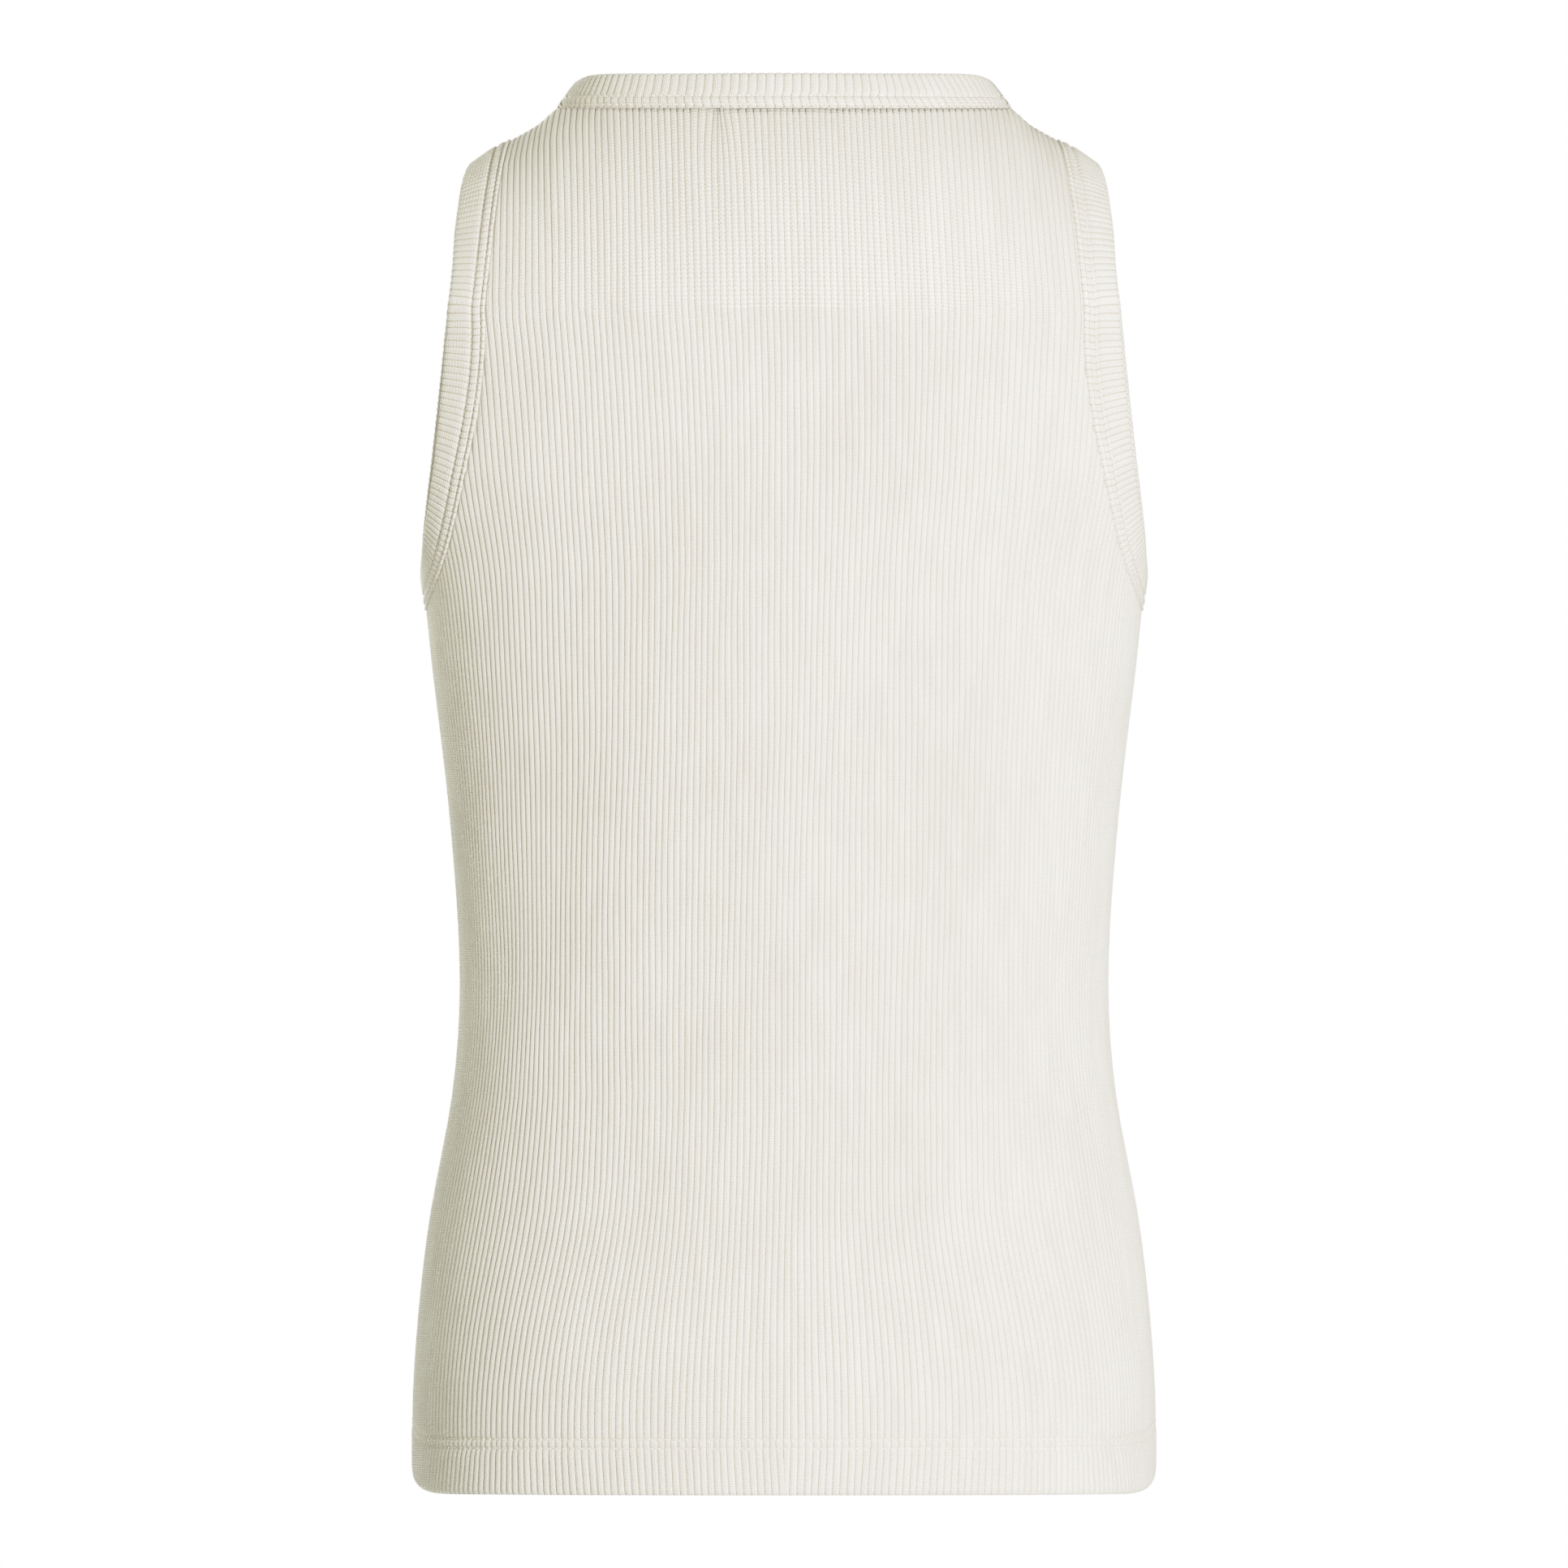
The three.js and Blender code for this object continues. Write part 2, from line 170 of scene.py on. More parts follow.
def make_net(side):
    """Places and outward directions for every row and share of one half of a panel."""
    rows = np.arange(SHOULDER_SEAM + 1)
    net = np.zeros((len(rows), NET_SHARES + 1, 3))
    chest_x, _ = section_points("back", CHEST_HEIGHT)
    facing = 1 if side == "back" else -1
    for row in rows:
        x, y = section_points(side, min(row, CHEST_HEIGHT))
        z = np.full(x.shape, float(row))
        if row > CHEST_HEIGHT:
            done = (row - CHEST_HEIGHT) / SHOULDER_TURN
            turn = done * np.pi / 2
            x = (x + (chest_x - x) * done) * (1 - SHOULDER_NARROWING * done)
            y = y * math.cos(turn)
            ridge = smooth_table(RIDGE, "out", "height", x)
            z = CHEST_HEIGHT + (ridge - CHEST_HEIGHT) * math.sin(turn)
        net[row] = np.stack([x, facing * (y + SEAM_GAP / 2), z], axis=1)
    along = np.gradient(net, axis=1)
    up = np.gradient(net, axis=0)
    normal = np.cross(along, up) * (-1 if side == "back" else 1)
    normal[:, -1, 1] = 0
    normal[-1, :, 1] = 0
    normal /= np.linalg.norm(normal, axis=2, keepdims=True)
    return net, normal


NETS = {side: make_net(side) for side in ("back", "front")}


def read_net(side, across, row, lift=0.0):
    """Places on the cloth and their outward directions, in millimetres above the hem."""
    across, row, lift = np.broadcast_arrays(np.asarray(across, float), np.asarray(row, float), lift)
    share = np.clip(np.abs(across), 0, 1) * NET_SHARES
    i = np.clip(share.astype(int), 0, NET_SHARES - 1)
    j = np.clip(row.astype(int), 0, SHOULDER_SEAM - 1)
    s = (share - i)[..., None]
    t = (row - j)[..., None]
    result = []
    for net in NETS[side]:
        low = net[j, i] * (1 - s) + net[j, i + 1] * s
        high = net[j + 1, i] * (1 - s) + net[j + 1, i + 1] * s
        value = low * (1 - t) + high * t
        value[..., 0] *= np.where(across < 0, -1, 1)
        result.append(value)
    place, normal = result
    normal = normal / np.linalg.norm(normal, axis=-1, keepdims=True)
    return place + normal * np.asarray(lift)[..., None], normal


def to_frame(points):
    """From millimetres above the hem to metres in the frame."""
    moved = np.array(points, float)
    moved[..., 2] -= SHOULDER_HEIGHT
    return moved * MM


def hem_row(across):
    """How far the hem curves up towards the side seams."""
    t = (np.abs(across) - HEM_RISE_START) / (1 - HEM_RISE_START)
    return HEM_RISE * np.clip(t, 0, None) ** 2


def row_at_height(side, across, height):
    """The row at which a rib reaches a height on the shoulder."""
    across = np.asarray(across, float)
    row = np.full(across.shape, CHEST_HEIGHT + SHOULDER_TURN / 2)
    for _ in range(NET_TRIES):
        x = np.abs(read_net(side, across, row)[0][..., 0])
        ridge = smooth_table(RIDGE, "out", "height", x)
        reach = np.clip((height - CHEST_HEIGHT) / (ridge - CHEST_HEIGHT), -1, 1)
        row = CHEST_HEIGHT + np.degrees(np.arcsin(reach))
        row = np.clip(row, CHEST_HEIGHT, SHOULDER_SEAM)
    return np.where(height <= CHEST_HEIGHT, height, row)


def neck_row(side, across):
    """The row of the neck seam: level behind and a scoop in front."""
    share = np.abs(np.asarray(across, float))
    if side == "back":
        return row_at_height(side, across, np.full(share.shape, BACK_NECK_HEIGHT))
    w = np.clip(share / EDGE_AT_NECK, 0, 1)
    left = (1 - w**FRONT_NECK_ROUNDNESS) ** (1 / FRONT_NECK_ROUNDNESS)
    height = BACK_NECK_HEIGHT - (BACK_NECK_HEIGHT - FRONT_NECK_BOTTOM) * left
    return row_at_height(side, across, height)


def armhole_row(share):
    """The row of the armhole seam, from its lowest place at the side up to the chest."""
    w = np.clip((1 - share) / (1 - EDGE_AT_ARMHOLE), 0, 1)
    left = (1 - w**ARMHOLE_ROUNDNESS) ** (1 / ARMHOLE_ROUNDNESS)
    return ARMHOLE_BOTTOM + (CHEST_HEIGHT - ARMHOLE_BOTTOM) * (1 - left)


waist = read_net("back", 1.0, 220.0)[0]
print("half waist:", round(float(waist[0]), 1), "mm")

# %% [markdown]
# ## Turning rings and columns of points into cloth
#
# A sheet of cloth here is a grid of points with a fine outer face, a plainer inner face
# and a rim that joins them, so that it is one closed skin with a real thickness. A
# Solidify modifier could thicken a single sheet, but the ribs would then show on both
# faces alike and the turned-up hem could not be thicker than the rest. Each point also
# carries two numbers, its rib and the length along that rib, in a UV map. The materials
# read them, so that the knit follows the ribs wherever they bend.

# %% Helpers that make meshes
UV_NAME = "Knit"


def new_piece(name, points, faces, uv_points, materials, smooth=True):
    """Makes an object from points in the frame, faces of point numbers and one UV a point."""
    mesh = bpy.data.meshes.new(name)
    mesh.from_pydata(points.tolist(), [], faces)
    mesh.update()
    for material in materials:
        mesh.materials.append(material)
    if uv_points is not None:
        corners = np.zeros(len(mesh.loops), np.int32)
        mesh.loops.foreach_get("vertex_index", corners)
        layer = mesh.uv_layers.new(name=UV_NAME)
        layer.uv.foreach_set("vector", np.asarray(uv_points, np.float32)[corners].ravel())
    if smooth:
        mesh.polygons.foreach_set("use_smooth", [True] * len(mesh.polygons))
    piece = bpy.data.objects.new(name, mesh)
    bpy.context.scene.collection.objects.link(piece)
    return piece


def grid_faces(numbers, flip=False):
    """Quads over a grid of point numbers."""
    a, b = numbers[:-1, :-1], numbers[:-1, 1:]
    c, d = numbers[1:, 1:], numbers[1:, :-1]
    order = (a, d, c, b) if flip else (a, b, c, d)
    return np.stack(order, axis=-1).reshape(-1, 4).tolist()


def fan_faces(fine, coarse, marks, flip=False):
    """Triangles between a fine line of points and a coarse one, which has a point at each mark."""
    faces = []
    for k in range(len(coarse) - 1):
        step = marks[k + 1] - marks[k]
        for i in range(step):
            first = marks[k] + i
            near = coarse[k] if i < (step + 1) // 2 else coarse[k + 1]
            faces.append((fine[first], fine[first + 1], near))
            if i == (step + 1) // 2 - 1:
                faces.append((fine[first + 1], coarse[k + 1], coarse[k]))
    return [tuple(reversed(face)) for face in faces] if flip else faces


# %% [markdown]
# ## One knit surface for every piece
#
# Seen close, the ribs are columns of small V-shaped stitches with a narrow groove beside
# each one, and the cotton has a short fuzz. The same surface is on the panels and on the
# bindings, at its own scale, so it is a node group that is built once. It puts out three
# things that change over the surface: a mask for the grooves, the height of the stitches
# for a bump, and a faint mottling of the yarn, in which long streaks, wide clouds and single
# stitches each have a share. Painting an image would be quicker to render and would blur
# when seen close.

# %% The knit node group


def new_group(name, inputs, outputs):
    group = bpy.data.node_groups.new(name, "ShaderNodeTree")
    for label, kind, value in inputs:
        socket = group.interface.new_socket(name=label, in_out="INPUT", socket_type=kind)
        if value is not None:
            socket.default_value = value
    for label, kind in outputs:
        group.interface.new_socket(name=label, in_out="OUTPUT", socket_type=kind)
    return group


class Wires:
    """Short names for adding nodes to a tree and joining them."""

    def __init__(self, tree):
        self.tree = tree

    def node(self, kind, **settings):
        made = self.tree.nodes.new(kind)
        for key, value in settings.items():
            setattr(made, key, value)
        return made

    def feed(self, socket, value):
        if isinstance(value, bpy.types.NodeSocket):
            self.tree.links.new(value, socket)
        else:
            socket.default_value = value

    def math(self, operation, first, second=0.0, third=0.0):
        made = self.node("ShaderNodeMath", operation=operation)
        for socket, value in zip(made.inputs, (first, second, third)):
            self.feed(socket, value)
        return made.outputs[0]

    def spread(self, value, low, high, to_low=0.0, to_high=1.0, soft=True):
        made = self.node("ShaderNodeMapRange")
        made.interpolation_type = "SMOOTHSTEP" if soft else "LINEAR"
        limits = {"From Min": low, "From Max": high, "To Min": to_low, "To Max": to_high}
        for label, number in limits.items():
            made.inputs[label].default_value = number
        self.feed(made.inputs["Value"], value)
        return made.outputs["Result"]

    def noise(self, vector, scale, detail, roughness=0.5):
        made = self.node("ShaderNodeTexNoise")
        self.feed(made.inputs["Vector"], vector)
        self.feed(made.inputs["Scale"], scale)
        self.feed(made.inputs["Detail"], detail)
        self.feed(made.inputs["Roughness"], roughness)
        return made.outputs["Fac"]

    def mix_colour(self, factor, first, second):
        made = self.node("ShaderNodeMix", data_type="RGBA")
        self.feed(made.inputs["Factor"], factor)
        self.feed(made.inputs[6], first)
        self.feed(made.inputs[7], second)
        return made.outputs[2]

    def scaled(self, x, y, across, along):
        """A flat vector from two values, each times a number."""
        made = self.node("ShaderNodeCombineXYZ")
        self.feed(made.inputs[0], self.math("MULTIPLY", x, across))
        self.feed(made.inputs[1], self.math("MULTIPLY", y, along))
        return made.outputs[0]


def make_knit_group():
    group = new_group(
        "Rib knit",
        [
            ("Knit", "NodeSocketVector", None),
            ("Wales in a rib", "NodeSocketFloat", 2.0),
            ("Groove width", "NodeSocketFloat", 0.3),
            ("Yarn mottle", "NodeSocketFloat", 1.0),
        ],
        [
            ("Groove", "NodeSocketFloat"),
            ("Stitch height", "NodeSocketFloat"),
            ("Mottle", "NodeSocketFloat"),
        ],
    )
    w = Wires(group)
    given = w.node("NodeGroupInput").outputs
    split = w.node("ShaderNodeSeparateXYZ")
    w.feed(split.inputs[0], given["Knit"])
    rib, course = split.outputs[0], split.outputs[1]
    from_groove = w.math("PINGPONG", rib, 0.5)
    half_width = w.math("MULTIPLY", given["Groove width"], 0.5)
    depth = w.math("DIVIDE", from_groove, half_width)
    groove = w.spread(depth, 0.0, 1.0, 1.0, 0.0)

    wale = w.math("MULTIPLY", rib, given["Wales in a rib"])
    leg = w.math("PINGPONG", wale, 0.5)
    slant = w.math("ADD", course, w.math("MULTIPLY", leg, 1.3))
    loop = w.math("SINE", w.math("MULTIPLY", slant, 2 * math.pi))
    yarn = w.math("SINE", w.math("MULTIPLY", leg, 2 * math.pi))
    stitches = w.math("ADD", w.math("MULTIPLY", loop, 0.3), w.math("MULTIPLY", yarn, 0.35))
    fuzz = w.noise(w.scaled(rib, course, 3.0, 1.1), 1.0, 3.0, 0.65)
    height = w.math("ADD", stitches, w.math("MULTIPLY", fuzz, 0.9))

    streak = w.noise(w.scaled(rib, course, 0.55, 0.035), 1.0, 2.0)
    cloud = w.noise(w.scaled(rib, course, 0.05, 0.012), 1.0, 2.0)
    mottle = w.math("ADD", w.math("MULTIPLY", streak, 0.5), w.math("MULTIPLY", cloud, 0.5))
    speckle = w.noise(w.scaled(rib, course, 4.2, 1.7), 1.0, 2.0, 0.6)
    mottle = w.math("ADD", w.math("MULTIPLY", mottle, 0.45), w.math("MULTIPLY", speckle, 0.55))
    mottle = w.math("MULTIPLY", w.spread(mottle, 0.34, 0.66), given["Yarn mottle"])

    out = w.node("NodeGroupOutput").inputs
    w.feed(out["Groove"], groove)
    w.feed(out["Stitch height"], height)
    w.feed(out["Mottle"], mottle)
    return group


knit_group = make_knit_group()
print("knit group sockets:", [item.name for item in knit_group.interface.items_tree])

# %% [markdown]
# ## The two cloths and the thread
#
# The cotton is an unbleached off-white, nearly white on the ribs. Down in the grooves the colour is
# painted a little warmer and darker: painted shade for the light that goes back and forth between
# the sides. It is matt, with a thin sheen from the fuzz. The bindings are the same yarn in a rib
# that runs across the band. The thread is a shade yellower and smoother. All three are built by one
# function, because only their colours and the scale of the knit differ.

# %% Cloth and thread materials
RIB_COLOUR = (0.80, 0.762, 0.69, 1)
RIB_COLOUR_PALE = (0.95, 0.92, 0.855, 1)
# Painted shade: the warmer, darker colour that is painted down in the grooves
GROOVE_SHADE_COLOUR = (0.64, 0.575, 0.47, 1)
THREAD_COLOUR = (0.88, 0.82, 0.68, 1)


def make_cloth(name, wales, groove_width, bump_distance, groove_shade_strength):
    material = bpy.data.materials.new(name)
    material.use_nodes = True
    material.node_tree.nodes.clear()
    w = Wires(material.node_tree)
    knit = w.node("ShaderNodeGroup", node_tree=knit_group)
    w.feed(knit.inputs["Knit"], w.node("ShaderNodeUVMap", uv_map=UV_NAME).outputs[0])
    knit.inputs["Wales in a rib"].default_value = wales
    knit.inputs["Groove width"].default_value = groove_width
    yarn = w.mix_colour(knit.outputs["Mottle"], RIB_COLOUR, RIB_COLOUR_PALE)
    # The grooves are painted darker and warmer. This is painted shade for the light that goes back
    # and forth between their sides, on top of the shade that the relief itself casts
    painted_groove_shade = w.math("MULTIPLY", knit.outputs["Groove"], groove_shade_strength)
    colour = w.mix_colour(painted_groove_shade, yarn, GROOVE_SHADE_COLOUR)
    bump = w.node("ShaderNodeBump")
    bump.inputs["Strength"].default_value = 0.8
    bump.inputs["Distance"].default_value = bump_distance
    w.feed(bump.inputs["Height"], knit.outputs["Stitch height"])
    shader = w.node("ShaderNodeBsdfPrincipled")
    w.feed(shader.inputs["Base Color"], colour)
    w.feed(shader.inputs["Normal"], bump.outputs[0])
    w.feed(shader.inputs["Roughness"], w.spread(knit.outputs["Groove"], 0, 1, 0.88, 0.97, False))
    shader.inputs["Sheen Weight"].default_value = 0.18
    shader.inputs["Sheen Roughness"].default_value = 0.5
    shader.inputs["Specular IOR Level"].default_value = 0.2
    out = w.node("ShaderNodeOutputMaterial")
    w.feed(out.inputs["Surface"], shader.outputs[0])
    return material


def make_thread(name):
    material = bpy.data.materials.new(name)
    material.use_nodes = True
    material.node_tree.nodes.clear()
    w = Wires(material.node_tree)
    place = w.node("ShaderNodeTexCoord").outputs["Object"]
    strands = w.noise(place, 900.0, 2.0)
    colour = w.mix_colour(w.spread(strands, 0.35, 0.65), THREAD_COLOUR, RIB_COLOUR_PALE)
    bump = w.node("ShaderNodeBump")
    bump.inputs["Strength"].default_value = 0.5
    bump.inputs["Distance"].default_value = 0.0001
    w.feed(bump.inputs["Height"], strands)
    shader = w.node("ShaderNodeBsdfPrincipled")
    w.feed(shader.inputs["Base Color"], colour)
    w.feed(shader.inputs["Normal"], bump.outputs[0])
    w.feed(shader.inputs["Roughness"], w.spread(strands, 0.3, 0.7, 0.6, 0.75))
    shader.inputs["Sheen Weight"].default_value = 0.1
    out = w.node("ShaderNodeOutputMaterial")
    w.feed(out.inputs["Surface"], shader.outputs[0])
    return material


body_cloth = make_cloth("Rib knit cotton", 2.0, 0.30, 0.0004, 0.6)
band_cloth = make_cloth("Rib binding cotton", 2.0, 0.30, 0.0004, 0.85)
sewing_thread = make_thread("Sewing thread")
print("materials:", body_cloth.name, band_cloth.name, sewing_thread.name)

# %% [markdown]
# ## The back and front panels
#
# Each panel is 150 ribs wide. A rib is broad and softly rounded, and the groove beside it
# is narrow, so seven columns of points are enough for one rib: the groove, two on each
# flank and the two edges of the top. The cloth is stretched over a body, so its ribs do not
# run straight up. A table says how far they drift and spread at each height, and a slow
# wave keeps any two of them from being alike. The inner face has one column a rib, and all
# seven only where the neck and the armholes cut steeply across it. The hem is turned up
# inside by 21 mm and held by two rows of stitches, which pinch the ribs and make the wall
# two layers thick below them. At the armholes the cloth runs on a few millimetres inside
# the binding, as the real raw edge does, and at the neck it ends on the seam.

# %% Ribs, rows and small unevenness
RIB_PLACES = np.array([0.0, 0.08, 0.19, 0.36, 0.64, 0.81, 0.92])
RIB_LEVELS = np.array([0.0, 0.46, 0.82, 1.0, 1.0, 0.82, 0.46])
RIB_PROUD = 1.15
HEM_TURN_UP = 21.0
HEM_FADE = 120
HEM_ROWS = (19.6, 23.4)
HEM_MIDDLE = sum(HEM_ROWS) / 2
STITCH_DIP = 0.38
CHANNEL_PUFF = 0.12
HEM_BELLY = 0.25
FOLD_ROUND = 1.6
DOUBLED_FADE = 0.9
ABOVE_HEM_ROWS = 999.0
SIDE_STRAIGHT = 0.985
COURSE = 1.0
PUCKER_RIB = 10.4
UNDER_BINDING = 0.055
RAW_EDGE = 3.5
MM_A_SHARE = 215.0
FIXED_TOP = 350.0
STRAIGHT_FROM = 430
STRAIGHT_OVER = 60
# How far the ribs run from their even places on the way up, in ribs
RIB_FLOW = {
    "height": [0, 40, 69, 117, 158, 199, 240, 281, 322, 363, 404, 445, 500, 560],
    "drift": [0, 0, 0, -0.1, -0.4, -0.5, -0.7, -0.9, -1.2, -1.3, -1.5, -1.6, -1.2, 0],
    "spread": [0, 0, -0.6, -2.1, -0.6, 1.2, 1.8, 1.3, 0.3, -0.6, -1.4, -1.8, -1.2, 0],
}
# Across, row, half width, half length, slant and depth of each soft trough
SOFT_FOLDS = {
    "back": [
        (-0.70, 196, 0.10, 60, 0.0012, -0.9),
        (0.74, 205, 0.09, 48, -0.0014, -1.0),
        (-0.56, 330, 0.07, 75, 0.0006, -0.5),
        (0.52, 300, 0.06, 66, -0.0007, -0.45),
        (0.20, 150, 0.09, 90, 0.0004, -0.4),
        (-0.22, 118, 0.08, 70, -0.0003, -0.35),
    ],
    "front": [
        (-0.66, 190, 0.10, 56, 0.0012, -0.9),
        (0.70, 182, 0.09, 50, -0.0013, -1.0),
        (0.55, 360, 0.06, 60, -0.0012, -0.6),
        (-0.52, 352, 0.07, 66, 0.0011, -0.6),
        (-0.12, 210, 0.08, 80, 0.0003, -0.4),
    ],
}


def panel_columns():
    ribs = np.arange(-RIBS_TO_SIDE, RIBS_TO_SIDE)
    phase = (ribs[:, None] + RIB_PLACES[None, :]).ravel()
    level = np.tile(RIB_LEVELS, len(ribs))
    return np.append(phase, RIBS_TO_SIDE), np.append(level, 0.0)


def inner_columns():
    """The columns of the plain inner face: one a rib, and all of them where an edge is steep."""
    step = len(RIB_PLACES)
    chosen = set(range(0, 2 * RIBS_TO_SIDE * step + 1, step))
    for ribs in (RIBS_TO_NECK, RIBS_TO_ARMHOLE):
        for facing in (-1, 1):
            steep = (RIBS_TO_SIDE + facing * ribs) * step
            chosen |= set(range(steep - 2 * step, steep + 2 * step))
    return sorted(chosen)


def armhole_share(row):
    """How far across the panel the armhole seam lies at a row."""
    left = 1 - (row - ARMHOLE_BOTTOM) / (CHEST_HEIGHT - ARMHOLE_BOTTOM)
    w = (1 - np.clip(left, 0, 1) ** ARMHOLE_ROUNDNESS) ** (1 / ARMHOLE_ROUNDNESS)
    return 1 - (1 - EDGE_AT_ARMHOLE) * w


def raw_edge():
    """The cut edge of the armhole, which runs on inside the binding. Shares and their rows."""
    row = np.linspace(SHOULDER_SEAM, CHEST_HEIGHT, 90)
    done = (SHOULDER_SEAM - row) / (SHOULDER_SEAM - CHEST_HEIGHT)
    straight = EDGE_AT_ARMHOLE + UNDER_BINDING * (0.35 + 0.65 * done)
    share = np.linspace(EDGE_AT_ARMHOLE, 1, 400)[1:]
    hidden = share + UNDER_BINDING * (1 - share) / (1 - EDGE_AT_ARMHOLE)
    return np.concatenate([straight, hidden]), np.concatenate([row, armhole_row(share) + RAW_EDGE])


def panel_top(side, across):
    """The row at which the cloth ends on each rib."""
    share = np.abs(across)
    edge_share, edge_row = raw_edge()
    armhole = np.interp(share, edge_share, edge_row)
    return np.where(share < EDGE_AT_NECK, neck_row(side, across), armhole)


def past_armhole(across, row):
    """How far past the armhole seam a place lies, in millimetres. It is negative on the body."""
    share = np.abs(across)
    sideways = (share - armhole_share(row)) * MM_A_SHARE
    upwards = row - armhole_row(np.clip(share, EDGE_AT_ARMHOLE, 1))
    far = np.where(share > EDGE_AT_ARMHOLE, np.minimum(sideways, upwards), sideways)
    return np.where(sideways < 0, np.maximum(far, sideways), far)


def panel_rows(across, top):
    """Heights of the points on every rib: close together at the hem, then evenly spaced."""
    near_hem = [0, 0.5, 1.3, 2.8, 6, 11, 16, 18.4, 19.1, 19.6, 20.1, 20.9, 22.1, 22.9, 23.4, 23.9]
    fixed = np.concatenate([near_hem, [24.8, 27], np.linspace(34, FIXED_TOP, 27)])
    upper = 1 - (1 - np.linspace(0, 1, 29)[1:]) ** 1.35
    hem = hem_row(across)
    fade = 1 - ease(fixed / HEM_FADE)
    low = fixed[:, None] + hem[None, :] * fade[:, None]
    high = FIXED_TOP + (top - FIXED_TOP)[None, :] * upper[:, None]
    from_hem = np.concatenate([fixed, np.full(len(upper), ABOVE_HEM_ROWS)])
    return np.concatenate([low, high]), from_hem


def soft_folds(side, across, row):
    """Shallow soft troughs in the filled-out cloth, in millimetres."""
    total = np.zeros(np.broadcast(across, row).shape)
    for centre, height, wide, long, slant, depth in SOFT_FOLDS[side]:
        sideways = (across - centre - slant * (row - height)) / wide
        upwards = (row - height) / long
        total += depth * np.exp(-(sideways**2) - upwards**2)
    return total


def rib_wander(side, across, row, above_hem):
    """How far a rib strays sideways from its straight line, in ribs."""
    phase = across * RIBS_TO_SIDE
    share = np.abs(across)
    # A slow wave and a quick one
    stray = 0.10 * np.sin(row / 31 + phase * 0.21) + 0.04 * np.sin(row / 11.7 + phase * 0.83)
    # The flow of the stretched cloth
    low = np.clip(row, 0, RIB_FLOW["height"][-1])
    away = np.clip(np.sin(np.pi * share), 0, 1) ** 1.5
    stray = stray + smooth_table(RIB_FLOW, "height", "spread", low) * away * np.sign(across)
    if side == "back":
        stray = stray + smooth_table(RIB_FLOW, "height", "drift", low) * (1 - share**3)
    # The turn-up flares at the sides, and its ribs sway between the rows of stitches
    below = np.clip((HEM_ROWS[0] - above_hem) / HEM_ROWS[0], 0, 1)
    flare = 1.5 * ease((share - 0.5) / 0.3) * np.clip((1 - share) / 0.12, 0, 1)
    gather = 0.35 * (1 - ease((share - 0.35) / 0.3))
    stray = stray + np.sign(across) * below * (flare - gather)
    between = np.clip(1 - np.abs(above_hem - HEM_MIDDLE) / 2.2, 0, 1)
    stray = stray + 0.16 * between * np.sin(phase * 1.7)
    if side == "front":
        return stray * (1 - ease((row - STRAIGHT_FROM) / STRAIGHT_OVER))
    # A few ribs are drawn together in the small pucker under the neck band
    gap = phase - PUCKER_RIB
    short = np.clip((neck_row(side, PUCKER_RIB / RIBS_TO_SIDE) - row) / 9, 0, None)
    return stray - 0.75 * gap * np.exp(-((gap / 2.6) ** 2) - short**1.5)


def stray_to(side, across, row, above_hem):
    """Where a place on a rib comes to lie. The ribs at the side seams stay straight."""
    strayed = across + rib_wander(side, across, row, above_hem) / RIBS_TO_SIDE
    return np.where(np.abs(across) > SIDE_STRAIGHT, across, strayed)


def stitch_pinch(from_hem):
    """How much the rows of hem stitches press the ribs down, from 0 to 1."""
    return sum(np.exp(-(((from_hem - at) / 0.75) ** 2)) for at in HEM_ROWS)


